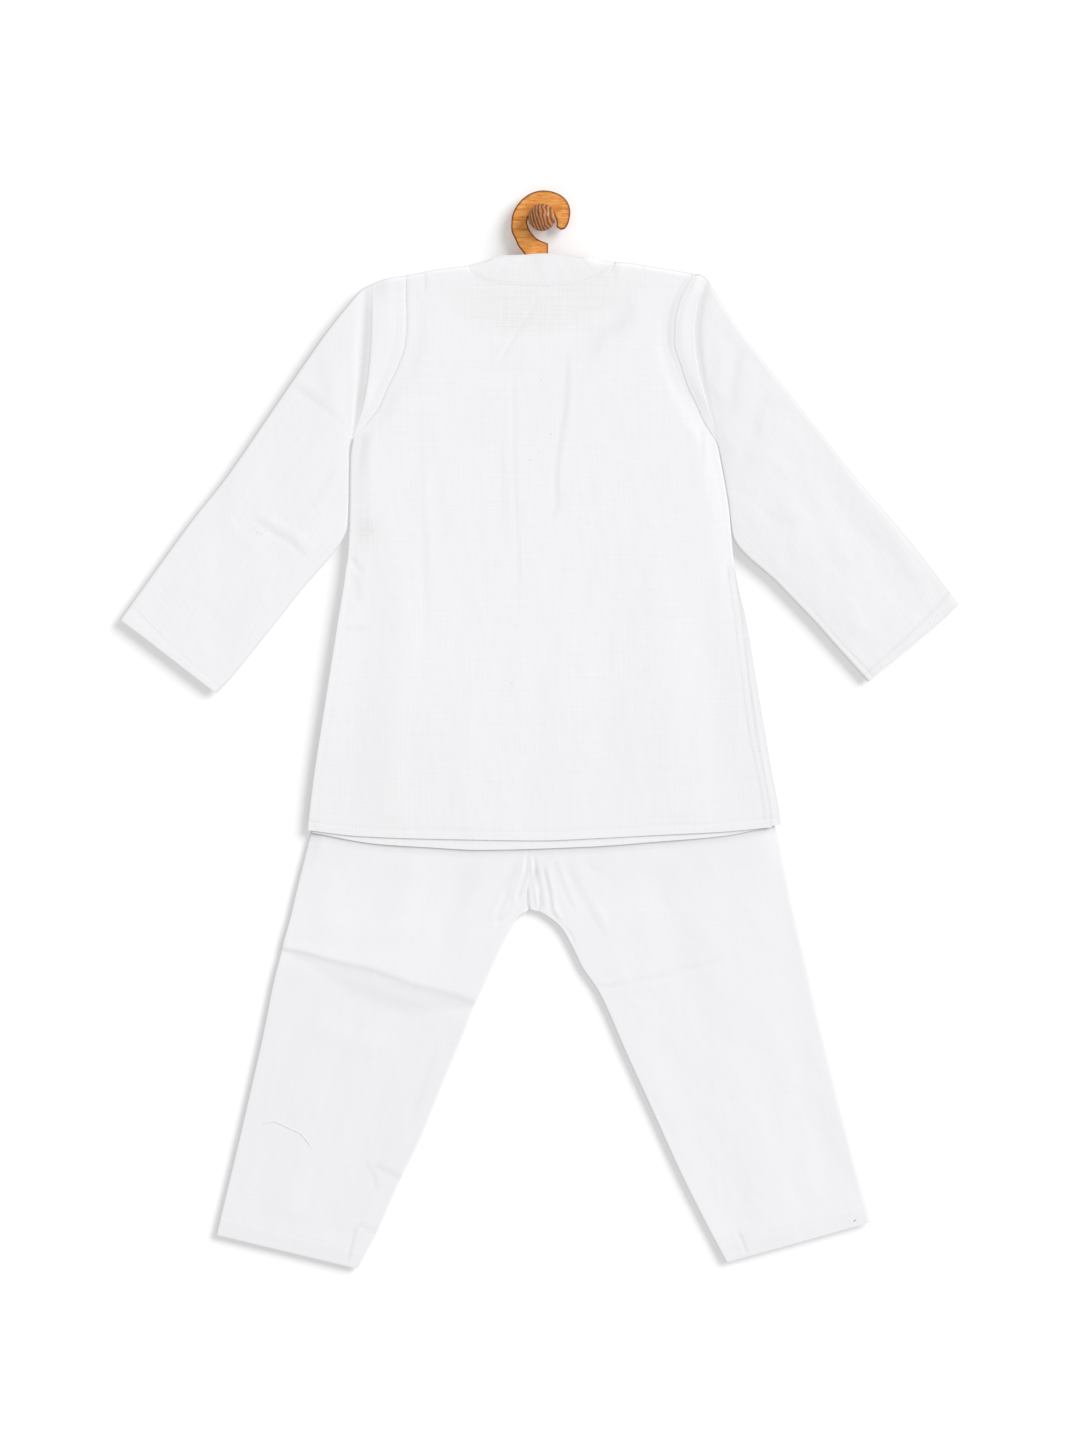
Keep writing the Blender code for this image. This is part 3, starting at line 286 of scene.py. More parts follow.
RIGHT_LEG_FOLDS = (
    fold([(-7.4, 572), (-5, 590), (-1.4, 605), (1.1, 624)], 1.6, 1.6, -0.40, 0.20, (0.15, 0.1)),
    fold([(-10, 574), (-8.6, 592), (-5.6, 606), (-3.5, 622)], 1.4, 1.4, 0.35, 0.0, (0.2, 0.1)),
    fold([(-5.7, 582), (-6.9, 592), (-6.6, 603)], 2.8, 2.4, -0.5, 0.34, (0.3, 0.4)),
    fold([(-2.6, 607), (-2.0, 616), (-1.8, 625)], 1.0, 1.0, -0.45, 0.45, (0.2, 0.1)),
    fold([(3.5, 580), (9.5, 605), (12, 622), (18, 634)], 1.6, 1.8, 0.45, 0.0, (0.2, 0.1)),
    fold([(0.6, 580), (6.2, 605), (8.4, 622), (13.4, 633)], 1.5, 1.5, -0.40, 0.16, (0.2, 0.1)),
    fold([(13.2, 574), (20.4, 595), (27.7, 612), (34, 622)], 2.0, 2.4, 0.18, 0.0, (0.15, 0.2)),
    fold([(10, 576), (17, 597), (24, 614), (30, 626)], 2.0, 2.0, -0.18, 0.06, (0.15, 0.2)),
    fold([(20.5, 576), (30.2, 600), (42, 621), (58, 652)], 3.2, 4.0, -0.18, 0.05, (0.15, 0.3)),
    fold([(27, 574), (38, 600), (50, 622), (66, 650)], 4.0, 5.0, 0.16, 0.0, (0.15, 0.3)),
    fold([(35, 575), (44.7, 585), (56, 592)], 3.0, 3.0, -0.25, 0.06, (0.3, 0.3)),
    fold([(20, 638), (27, 646), (30, 656)], 1.4, 1.4, -0.25, 0.12, (0.3, 0.2)),
    fold([(53, 694), (110, 682), (178, 664)], 3.0, 2.6, -0.22, 0.07, (0.1, 0.3)),
    fold([(53, 699), (110, 687), (178, 669)], 4.0, 5.0, 0.22),
    fold([(47, 690), (60, 692), (72, 689)], 1.4, 1.4, -0.2, 0.10, (0.1, 0.4)),
    fold([(94, 575), (118, 640), (140, 700)], 16.0, 16.0, -0.40, 0.02, (0.2, 0.3)),
    fold([(150, 600), (168, 720), (196, 830), (214, 910)], 22.0, 22.0, 0.45, 0.0, (0.3, 0.1)),
    fold([(90, 700), (126, 780), (164, 860), (190, 920)], 18.0, 18.0, -0.40, 0.0, (0.3, 0.1)),
    fold([(210, 620), (226, 720), (250, 820), (268, 890)], 14.0, 14.0, -0.35, 0.0, (0.3, 0.1)),
    fold([(176, 911), (180, 920), (185, 933)], 1.8, 1.8, -0.3, 0.22, (0.1, 0.1)),
    fold([(182, 938), (204, 920), (240, 914)], 2.0, 2.0, 0.15, 0.05),
)


# ---------------------------------------------------------------- numbers
def smooth(t):
    t = np.clip(t, 0.0, 1.0)
    return t * t * (3 - 2 * t)


def pchip(x, xs, ys):
    """A smooth curve through the points that doesn't overshoot."""
    xs, ys, x = (np.asarray(a, float) for a in (xs, ys, x))
    h = np.diff(xs)
    d = np.diff(ys) / h
    m = np.zeros(len(xs))
    same = d[:-1] * d[1:] > 0
    mean = np.where(same, 2 * d[:-1] * d[1:] / np.where(same, d[:-1] + d[1:], 1.0), 0.0)
    m[1:-1] = mean
    m[0], m[-1] = d[0], d[-1]
    i = np.clip(np.searchsorted(xs, x, side="right") - 1, 0, len(xs) - 2)
    t = np.clip((x - xs[i]) / h[i], 0.0, 1.0)
    t2, t3 = t * t, t * t * t
    return (2 * t3 - 3 * t2 + 1) * ys[i] + (t3 - 2 * t2 + t) * h[i] * m[i] + (3 * t2 - 2 * t3) * ys[i + 1] + (t3 - t2) * h[i] * m[i + 1]


def column(table, k):
    return [row[k] for row in table]


def curve(table, x):
    """down at x along a table of (x, down)."""
    return pchip(x, column(table, 0), column(table, 1))


def kurta_mid(down):
    return BOARD_MID + (KURTA_MID_HEM - BOARD_MID) * np.clip((down - BOARD_LOW) / (KURTA_HEM_DOWN - BOARD_LOW), 0, 1)


def leg_mid(down):
    return LEG_MID_TOP + (LEG_MID_HEM - LEG_MID_TOP) * np.clip((down - 575.0) / 365.0, 0, 1)


def fold_sum(table, x, down):
    """(rise, shade) of the folds at each point."""
    rise, shade = np.zeros(x.shape), np.zeros(x.shape)
    for f in table:
        path = f["path"]
        seg = np.diff(path, axis=0)
        lengths = np.hypot(seg[:, 0], seg[:, 1])
        total = lengths.sum()
        best = np.full(x.shape, 1e9)
        along = np.zeros(x.shape)
        side = np.zeros(x.shape)
        gone = 0.0
        for (px, pd), (sx, sd), length in zip(path, seg, lengths):
            t = np.clip(((x - px) * sx + (down - pd) * sd) / length**2, 0, 1)
            dx, dd = x - px - t * sx, down - pd - t * sd
            dist = np.hypot(dx, dd)
            near = dist < best
            best = np.where(near, dist, best)
            along = np.where(near, (gone + t * length) / total, along)
            side = np.where(near, np.sign(dx * sd - dd * sx), side)
            gone += length
        width = np.where(side > 0, f["right"], f["left"])
        a, b = f["ends"]
        fade = smooth(along / a) * smooth((1 - along) / b)
        bell = np.exp(-((best / width) ** 2)) * fade
        rise += f["rise"] * bell
        shade += f["shade"] * bell
    return rise, shade


def ripples(x, down, seed, amount, shortest, longest, lean=0.35):
    """Shallow unevenness of hanging cloth: crests run mostly downward."""
    rng = np.random.default_rng(seed)
    total = np.zeros(x.shape)
    for _ in range(14):
        size = shortest * (longest / shortest) ** rng.random()
        tilt = rng.normal(0, lean)
        phase, bend = rng.random(2) * 2 * math.pi
        a = (x * math.cos(tilt) + down * math.sin(tilt)) / size * 2 * math.pi
        slow = np.sin(down / (size * 3.1) * 2 * math.pi + bend)
        total += (size / longest) ** 0.7 * np.sin(a + phase + 0.8 * slow) * (0.6 + 0.4 * slow)
    return amount * total / 3.0


# ---------------------------------------------------------------- meshes
def to_metres(points):
    out = np.empty(points.shape)
    out[..., 0] = points[..., 0] * MM
    out[..., 1] = -points[..., 2] * MM
    out[..., 2] = -points[..., 1] * MM
    return out


def normals_of(grid, wrap=False):
    """Unit normals of a grid of points (x, down, out), each pointing to one side."""
    if wrap:
        padded = np.concatenate([grid[:, -1:], grid, grid[:, :1]], axis=1)
        du = padded[:, 2:] - padded[:, :-2]
    else:
        du = np.gradient(grid, axis=1)
    dv = np.gradient(grid, axis=0)
    n = np.cross(du, dv)
    return n / (np.linalg.norm(n, axis=2, keepdims=True) + 1e-12)


def make_mesh(name, verts, quads, attributes=None, tris=None):
    """verts in metres; quads (n,4); tris (m,3). The faces are turned to face out."""
    polys = [np.asarray(quads, np.int64).reshape(-1, 4)]
    tri = np.asarray(tris if tris is not None else np.zeros((0, 3)), np.int64).reshape(-1, 3)
    q = polys[0]
    all_tris = np.concatenate([q[:, [0, 1, 2]], q[:, [0, 2, 3]], tri])
    p = verts[all_tris]
    if np.einsum("ij,ij->i", p[:, 0], np.cross(p[:, 1], p[:, 2])).sum() < 0:
        q, tri = q[:, ::-1], tri[:, ::-1]
    mesh = bpy.data.meshes.new(name)
    mesh.vertices.add(len(verts))
    mesh.vertices.foreach_set("co", np.ascontiguousarray(verts, np.float32).ravel())
    loops = np.concatenate([q.ravel(), tri.ravel()]).astype(np.int32)
    mesh.loops.add(len(loops))
    mesh.loops.foreach_set("vertex_index", loops)
    starts = np.concatenate([np.arange(len(q)) * 4, len(q) * 4 + np.arange(len(tri)) * 3]).astype(np.int32)
    mesh.polygons.add(len(starts))
    mesh.polygons.foreach_set("loop_start", starts)
    mesh.update(calc_edges=True)
    mesh.polygons.foreach_set("use_smooth", np.ones(len(starts), bool))
    for key, values in (attributes or {}).items():
        values = np.asarray(values, np.float32)
        kind = "FLOAT" if values.ndim == 1 else "FLOAT_VECTOR"
        layer = mesh.attributes.new(key, kind, "POINT")
        layer.data.foreach_set("value" if values.ndim == 1 else "vector", values.ravel())
    return mesh


def add_piece(name, mesh, material, sharp=55):
    mesh.materials.append(material)
    if sharp:
        mesh.set_sharp_from_angle(angle=math.radians(sharp))
    obj = bpy.data.objects.new(name, mesh)
    bpy.context.scene.collection.objects.link(obj)
    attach(obj, "root")
    return obj


def shell(name, outer, thickness, wrap, attributes, material, inner=None, toward=None):
    """A closed thin shell: the outer grid, the same grid moved in, and its rims.

    toward is a grid of +1/-1 (or one number): the side of the grid's own normals that is outside.
    """
    rows, cols = outer.shape[:2]
    if inner is None:
        n = normals_of(outer, wrap) * np.asarray(toward)[..., None]
        inner = outer - n * np.asarray(thickness)[..., None]
    verts = to_metres(np.concatenate([outer.reshape(-1, 3), inner.reshape(-1, 3)]))
    index = np.arange(rows * cols).reshape(rows, cols)
    ring = np.concatenate([index, index[:, :1]], axis=1) if wrap else index
    a, b, c, d = (g.ravel() for g in (ring[:-1, :-1], ring[:-1, 1:], ring[1:, 1:], ring[1:, :-1]))
    off = rows * cols
    quads = [np.stack([a, b, c, d], 1), np.stack([a, d, c, b], 1) + off]
    for line, turn in ((ring[0], 1), (ring[-1], -1)):
        p, q = line[:-1], line[1:]
        rim = np.stack([p, p + off, q + off, q], 1)
        quads.append(rim if turn > 0 else rim[:, ::-1])
    if not wrap:
        for line, turn in ((index[:, 0], -1), (index[:, -1], 1)):
            p, q = line[:-1], line[1:]
            rim = np.stack([p, p + off, q + off, q], 1)
            quads.append(rim if turn > 0 else rim[:, ::-1])
    full = {k: np.concatenate([v.reshape(off, -1), v.reshape(off, -1)]).squeeze() for k, v in attributes.items()}
    mesh = make_mesh(name, verts, np.concatenate(quads), full)
    return add_piece(name, mesh, material)


def sample(grid, r, c):
    """Points and unit normals on a grid at fractional rows and columns."""
    rows, cols = grid.shape[:2]
    n = normals_of(grid)
    r, c = np.clip(np.asarray(r, float), 0, rows - 1.001), np.clip(np.asarray(c, float), 0, cols - 1.001)
    i, j = r.astype(int), c.astype(int)
    u, v = (r - i)[:, None], (c - j)[:, None]
    out = []
    for g in (grid, n):
        out.append((g[i, j] * (1 - u) + g[i + 1, j] * u) * (1 - v) + (g[i, j + 1] * (1 - u) + g[i + 1, j + 1] * u) * v)
    out[1] /= np.linalg.norm(out[1], axis=1, keepdims=True) + 1e-12
    return out


STITCH, STITCH_GAP, THREAD = 2.1, 0.9, 0.17


def stitch_line(points, normals, sink=0.06):
    """Short threads laid end to end along a line on the cloth. Returns (verts, quads)."""
    steps = np.linalg.norm(np.diff(points, axis=0), axis=1)
    s = np.concatenate([[0], np.cumsum(steps)])
    pitch = STITCH + STITCH_GAP
    starts = np.arange(0.4, s[-1] - STITCH, pitch)
    verts, quads = [], []
    if not len(starts):
        return np.zeros((0, 3)), np.zeros((0, 4), int)
    shares = np.array([0.0, 0.2, 0.8, 1.0])
    lifts = np.array([-0.10, 0.13, 0.13, -0.10])
    at = starts[:, None] + shares[None] * STITCH
    p = np.stack([np.interp(at, s, points[:, k]) for k in range(3)], -1)
    n = np.stack([np.interp(at, s, normals[:, k]) for k in range(3)], -1)
    n /= np.linalg.norm(n, axis=-1, keepdims=True) + 1e-12
    t = p[:, -1] - p[:, 0]
    t /= np.linalg.norm(t, axis=-1, keepdims=True) + 1e-12
    side = np.cross(n, t[:, None])
    centre = p + n * (lifts - sink)[None, :, None]
    ring = []
    for k in range(6):
        a = math.radians(60 * k)
        size = THREAD * np.array([0.45, 1.0, 1.0, 0.45])[None, :, None]
        ring.append(centre + (n * math.cos(a) * 0.8 + side * math.sin(a)) * size)
    ring = np.stack(ring, 2)  # stitch, station, corner, xyz
    count = len(starts)
    verts = ring.reshape(-1, 3)
    base = (np.arange(count) * 24)[:, None]
    local = []
    for i in range(3):
        for k in range(6):
            m = (k + 1) % 6
            local.append([i * 6 + k, i * 6 + m, i * 6 + 6 + m, i * 6 + 6 + k])
    local += [[0, 3, 2, 1], [0, 5, 4, 3], [18, 19, 20, 21], [18, 21, 22, 23]]
    quads = (base[:, :, None] + np.array(local)[None]).reshape(-1, 4)
    return verts, quads


def stitches(name, lines, material):
    """One joined mesh of every stitch on these (points, normals) lines."""
    verts, quads, count = [], [], 0
    for points, normals in lines:
        v, q = stitch_line(points, normals)
        verts.append(v)
        quads.append(q + count)
        count += len(v)
    mesh = make_mesh(name, to_metres(np.concatenate(verts)), np.concatenate(quads))
    return add_piece(name, mesh, material, sharp=0)


def outside_distance(polygon, x, down):
    """Signed distance to a closed outline, positive inside."""
    polygon = np.array(polygon, float)
    best = np.full(x.shape, 1e9)
    inside = np.zeros(x.shape, bool)
    for (ax, ad), (bx, bd) in zip(polygon, np.roll(polygon, -1, axis=0)):
        sx, sd = bx - ax, bd - ad
        t = np.clip(((x - ax) * sx + (down - ad) * sd) / (sx * sx + sd * sd), 0, 1)
        best = np.minimum(best, np.hypot(x - ax - t * sx, down - ad - t * sd))
        crosses = (ad > down) != (bd > down)
        with np.errstate(divide="ignore", invalid="ignore"):
            at = ax + (down - ad) / (bd - ad) * (bx - ax)
        inside ^= crosses & (x < at)
    return np.where(inside, best, -best)


def seen_through(x, down):
    """How much painted see-through darkening the hanger's board gives the thin cloth lying on it."""
    hidden = outside_distance([(-15.6, 20.0)] + list(ARMS) + [(5.5, 20.0)], x, down)
    return smooth((hidden + 6.0) / 16.0) * (0.25 + 0.75 * smooth((100.0 - np.abs(x)) / 50.0))


# ---------------------------------------------------------------- materials
def nodes_for(name):
    material = bpy.data.materials.new(name)
    material.use_nodes = True
    tree = material.node_tree
    tree.nodes.clear()
    return material, tree


def link(tree, a, b):
    tree.links.new(a, b)


def node(tree, kind, **values):
    made = tree.nodes.new(kind)
    for key, value in values.items():
        if key in ("operation", "data_type", "blend_type", "noise_dimensions", "wave_type", "bands_direction", "rings_direction", "wave_profile", "attribute_name", "attribute_type", "interpolation_type", "vector_type", "clamp", "feature", "distance", "normalize", "noise_type", "clamp_factor"):
            setattr(made, key, value)
        else:
            made.inputs[int(key[1:]) if key[0] == "_" else key].default_value = value
    return made


def math_node(tree, operation, a, b=None, c=None, clamp=False):
    made = tree.nodes.new("ShaderNodeMath")
    made.operation = operation
    made.use_clamp = clamp
    for k, value in enumerate((a, b, c)):
        if value is None:
            continue
        if hasattr(value, "is_output"):
            link(tree, value, made.inputs[k])
        else:
            made.inputs[k].default_value = value
    return made.outputs[0]


def mix_color(tree, factor, a, b, blend="MIX"):
    made = tree.nodes.new("ShaderNodeMix")
    made.data_type = "RGBA"
    made.blend_type = blend
    for socket, value in ((made.inputs[0], factor), (made.inputs[6], a), (made.inputs[7], b)):
        if hasattr(value, "is_output"):
            link(tree, value, socket)
        elif isinstance(value, (int, float)):
            socket.default_value = value
        else:
            socket.default_value = (*value, 1.0)
    return made.outputs[2]


def attribute(tree, name, vector=False):
    made = tree.nodes.new("ShaderNodeAttribute")
    made.attribute_name = name
    return made.outputs["Vector" if vector else "Fac"]


def scaled(tree, vector, scale):
    made = tree.nodes.new("ShaderNodeVectorMath")
    made.operation = "MULTIPLY"
    link(tree, vector, made.inputs[0])
    made.inputs[1].default_value = scale
    return made.outputs[0]


def noise(tree, vector, detail=2.0, rough=0.5, scale=1.0):
    made = tree.nodes.new("ShaderNodeTexNoise")
    made.inputs["Scale"].default_value = scale
    made.inputs["Detail"].default_value = detail
    made.inputs["Roughness"].default_value = rough
    link(tree, vector, made.inputs["Vector"])
    return made.outputs["Fac"]


def ranged(tree, value, lo, hi, a, b):
    made = tree.nodes.new("ShaderNodeMapRange")
    link(tree, value, made.inputs[0])
    for k, v in zip((1, 2, 3, 4), (lo, hi, a, b)):
        made.inputs[k].default_value = v
    return made.outputs[0]


def cotton(name, base, dark, streak, slub, weave, bump):
    """Plain woven cotton: fine threads both ways, with thicker slubs here and there.

    The mesh carries cut (mm across and along the cloth), shade (painted shade) and tint (painted see-through of the
    hanger's board, and a faint patch).
    """
    material, tree = nodes_for(name)
    cut = attribute(tree, "cut", vector=True)
    warp = noise(tree, scaled(tree, cut, (1.5, 0.035, 1.0)), 3.0, 0.6)
    weft = noise(tree, scaled(tree, cut, (0.035, 1.5, 1.0)), 3.0, 0.6)
    warp_fine = noise(tree, scaled(tree, cut, (3.2, 0.16, 1.0)), 2.0, 0.5)
    weft_fine = noise(tree, scaled(tree, cut, (0.16, 3.2, 1.0)), 2.0, 0.5)
    thick_warp = noise(tree, scaled(tree, cut, (0.50, 0.014, 1.0)), 2.0, 0.65)
    thick_weft = noise(tree, scaled(tree, cut, (0.014, 0.50, 1.0)), 2.0, 0.65)
    broad = noise(tree, scaled(tree, cut, (0.012, 0.009, 1.0)), 3.0, 0.5)
    threads = math_node(tree, "ADD", math_node(tree, "MULTIPLY", warp, 0.6), math_node(tree, "MULTIPLY", weft, 0.4))
    thick = math_node(tree, "ADD", math_node(tree, "MULTIPLY", thick_warp, 0.5), math_node(tree, "MULTIPLY", thick_weft, 0.5))
    fine = math_node(tree, "ADD", math_node(tree, "MULTIPLY", warp_fine, 0.5), math_node(tree, "MULTIPLY", weft_fine, 0.5))
    slubs = ranged(tree, threads, 0.36, 0.64, 0.0, 1.0)
    streaks = ranged(tree, thick, 0.34, 0.66, 0.0, 1.0)
    specks = ranged(tree, fine, 0.38, 0.62, 0.0, 1.0)
    color = mix_color(tree, streaks, tuple(c * (1 - streak) for c in base), tuple(min(1.0, c * (1 + streak)) for c in base))
    color = mix_color(tree, slubs, color, mix_color(tree, 1.0, color, (1 - slub, 1 - slub, 1 - slub), "MULTIPLY"))
    color = mix_color(tree, math_node(tree, "MULTIPLY", specks, weave), color, tuple(min(1.0, c * 1.03) for c in base))
    color = mix_color(tree, ranged(tree, broad, 0.35, 0.65, 0.0, 0.35), color, tuple(c * k for c, k in zip(base, (0.98, 0.983, 0.99))))
    # painted shade: the shade attribute mixes the cloth toward the dark colour
    color = mix_color(tree, attribute(tree, "shade"), color, dark)
    # painted see-through: the tint attribute veils the cloth in the board's brownish colour
    veil = math_node(tree, "MULTIPLY", attribute(tree, "tint"), ranged(tree, streaks, 0.0, 1.0, 1.6, 0.4))
    color = mix_color(tree, veil, color, (0.70, 0.655, 0.65))
    shader = node(tree, "ShaderNodeBsdfPrincipled", Roughness=0.9)
    shader.inputs["Sheen Weight"].default_value = 0.05
    shader.inputs["Sheen Roughness"].default_value = 0.5
    shader.inputs["Specular IOR Level"].default_value = 0.12
    link(tree, color, shader.inputs["Base Color"])
    height = math_node(tree, "ADD", math_node(tree, "MULTIPLY", threads, 1.0), math_node(tree, "MULTIPLY", fine, 0.6))
    height = math_node(tree, "ADD", height, math_node(tree, "MULTIPLY", thick, 1.2))
    relief = tree.nodes.new("ShaderNodeBump")
    relief.inputs["Strength"].default_value = bump
    relief.inputs["Distance"].default_value = 0.0004
    link(tree, height, relief.inputs["Height"])
    link(tree, relief.outputs[0], shader.inputs["Normal"])
    out = tree.nodes.new("ShaderNodeOutputMaterial")
    link(tree, shader.outputs[0], out.inputs[0])
    return material


def thread_material(name, color):
    material, tree = nodes_for(name)
    coords = tree.nodes.new("ShaderNodeTexCoord").outputs["Object"]
    twist = noise(tree, scaled(tree, coords, (2500.0, 2500.0, 2500.0)), 1.0)
    shader = node(tree, "ShaderNodeBsdfPrincipled", Roughness=0.55)
    shader.inputs["Sheen Weight"].default_value = 0.2
    link(tree, mix_color(tree, twist, tuple(c * 0.93 for c in color), color), shader.inputs["Base Color"])
    out = tree.nodes.new("ShaderNodeOutputMaterial")
    link(tree, shader.outputs[0], out.inputs[0])
    return material


def hanger_material():
    """Birch board with its grain along the arms, and dark scorched cut edges."""
    material, tree = nodes_for("hanger_wood_grain")
    coords = tree.nodes.new("ShaderNodeTexCoord").outputs["Object"]
    grain = noise(tree, scaled(tree, coords, (60.0, 60.0, 1100.0)), 4.0, 0.6)
    fine = noise(tree, scaled(tree, coords, (160.0, 300.0, 3200.0)), 2.0, 0.5)
    broad = noise(tree, scaled(tree, coords, (90.0, 90.0, 260.0)), 2.0, 0.5)
    color = mix_color(tree, ranged(tree, grain, 0.38, 0.62, 0.0, 1.0), (0.61, 0.199, 0.031), (1.0, 0.44, 0.112))
    color = mix_color(tree, ranged(tree, fine, 0.35, 0.65, 0.0, 0.6), color, (0.47, 0.15, 0.026))
    color = mix_color(tree, ranged(tree, broad, 0.42, 0.66, 0.0, 0.5), color, (0.98, 0.52, 0.17))
    height = tree.nodes.new("ShaderNodeSeparateXYZ")
    link(tree, coords, height.inputs[0])
    for level in (0.0083, -0.0106):
        # where two boards of the ply's face meet
        off = math_node(tree, "ABSOLUTE", math_node(tree, "SUBTRACT", height.outputs[2], level))
        color = mix_color(tree, ranged(tree, off, 0.0001, 0.0007, 0.55, 0.0), color, (0.42, 0.13, 0.022))
    ring = math_node(tree, "MULTIPLY", attribute(tree, "burn"), 1.0)
    color = mix_color(tree, ring, color, (0.13, 0.028, 0.008))
    shader = node(tree, "ShaderNodeBsdfPrincipled", Roughness=0.6)
    shader.inputs["Specular IOR Level"].default_value = 0.12
    link(tree, color, shader.inputs["Base Color"])
    relief = tree.nodes.new("ShaderNodeBump")
    relief.inputs["Strength"].default_value = 0.35
    relief.inputs["Distance"].default_value = 0.0003
    link(tree, math_node(tree, "ADD", grain, fine), relief.inputs["Height"])
    link(tree, relief.outputs[0], shader.inputs["Normal"])
    out = tree.nodes.new("ShaderNodeOutputMaterial")
    link(tree, shader.outputs[0], out.inputs[0])
    return material


def knob_material():
    """Striped hardwood, turned and waxed: the growth rings show as bands across the ball."""
    material, tree = nodes_for("knob_wood_grain")
    coords = tree.nodes.new("ShaderNodeTexCoord").outputs["Object"]
    turned = tree.nodes.new("ShaderNodeMapping")
    turned.inputs["Rotation"].default_value = (0.1, 0.18, 0.25)
    link(tree, coords, turned.inputs["Vector"])
    wave = tree.nodes.new("ShaderNodeTexWave")
    wave.wave_type = "BANDS"
    wave.bands_direction = "X"
    wave.inputs["Scale"].default_value = 104.0
    wave.inputs["Distortion"].default_value = 4.2
    wave.inputs["Detail"].default_value = 3.0
    wave.inputs["Detail Scale"].default_value = 1.1
    link(tree, turned.outputs[0], wave.inputs["Vector"])
    fine = noise(tree, scaled(tree, turned.outputs[0], (2400.0, 300.0, 300.0)), 3.0, 0.6)
    color = mix_color(tree, ranged(tree, wave.outputs["Fac"], 0.1, 0.9, 0.0, 1.0), (0.19, 0.05, 0.013), (0.64, 0.30, 0.11))
    color = mix_color(tree, ranged(tree, fine, 0.38, 0.62, 0.0, 0.65), color, (0.21, 0.058, 0.016))
    shader = node(tree, "ShaderNodeBsdfPrincipled", Roughness=0.3)
    shader.inputs["Specular IOR Level"].default_value = 0.3
    link(tree, color, shader.inputs["Base Color"])
    relief = tree.nodes.new("ShaderNodeBump")
    relief.inputs["Strength"].default_value = 0.2
    relief.inputs["Distance"].default_value = 0.0003
    link(tree, fine, relief.inputs["Height"])
    link(tree, relief.outputs[0], shader.inputs["Normal"])
    out = tree.nodes.new("ShaderNodeOutputMaterial")
    link(tree, shader.outputs[0], out.inputs[0])
    return material


def button_material():
    material, tree = nodes_for("button_shell")
    coords = tree.nodes.new("ShaderNodeTexCoord").outputs["Object"]
    cloud = noise(tree, scaled(tree, coords, (260.0, 260.0, 420.0)), 3.0, 0.6)
    shader = node(tree, "ShaderNodeBsdfPrincipled", Roughness=0.28)
    link(tree, mix_color(tree, ranged(tree, cloud, 0.3, 0.7, 0.0, 1.0), (0.70, 0.68, 0.62), (0.86, 0.85, 0.80)), shader.inputs["Base Color"])
    out = tree.nodes.new("ShaderNodeOutputMaterial")
    link(tree, shader.outputs[0], out.inputs[0])
    return material


KURTA_COTTON = cotton("kurta_slub_cotton", (0.857, 0.857, 0.871), (0.60, 0.583, 0.583), 0.022, 0.03, 0.3, 0.22)
PYJAMA_COTTON = cotton("pyjama_plain_cotton", (0.841, 0.839, 0.855), (0.60, 0.585, 0.60), 0.014, 0.018, 0.25, 0.16)
THREAD_WHITE = thread_material("white_thread", (0.84, 0.84, 0.85))
HANGER_WOOD = hanger_material()
KNOB_WOOD = knob_material()
BUTTON_SHELL = button_material()


# ---------------------------------------------------------------- the kurta's body
SIDE_OFFSETS = np.array([0.0, 0.4, 1.0, 1.8, 2.8, 4.2, 5.4, 6.2, 7.2, 9.0])
TOP_OFFSETS = np.array([0.0, 0.3, 0.8, 1.5, 2.5, 3.8, 5.4, 7.4])
HEM_OFFSETS = np.array([15.0, 12.0, 10.2, 9.2, 8.6, 8.0, 7.2, 5.6, 4.0, 2.4, 1.2, 0.5, 0.0])


def body_edges(front):
    left = [row[0] if not front or row[5] is None else row[5] for row in BODY]
    right = [row[2] if not front or row[6] is None else row[6] for row in BODY]
    return left, column(BODY, 1), right, column(BODY, 3)


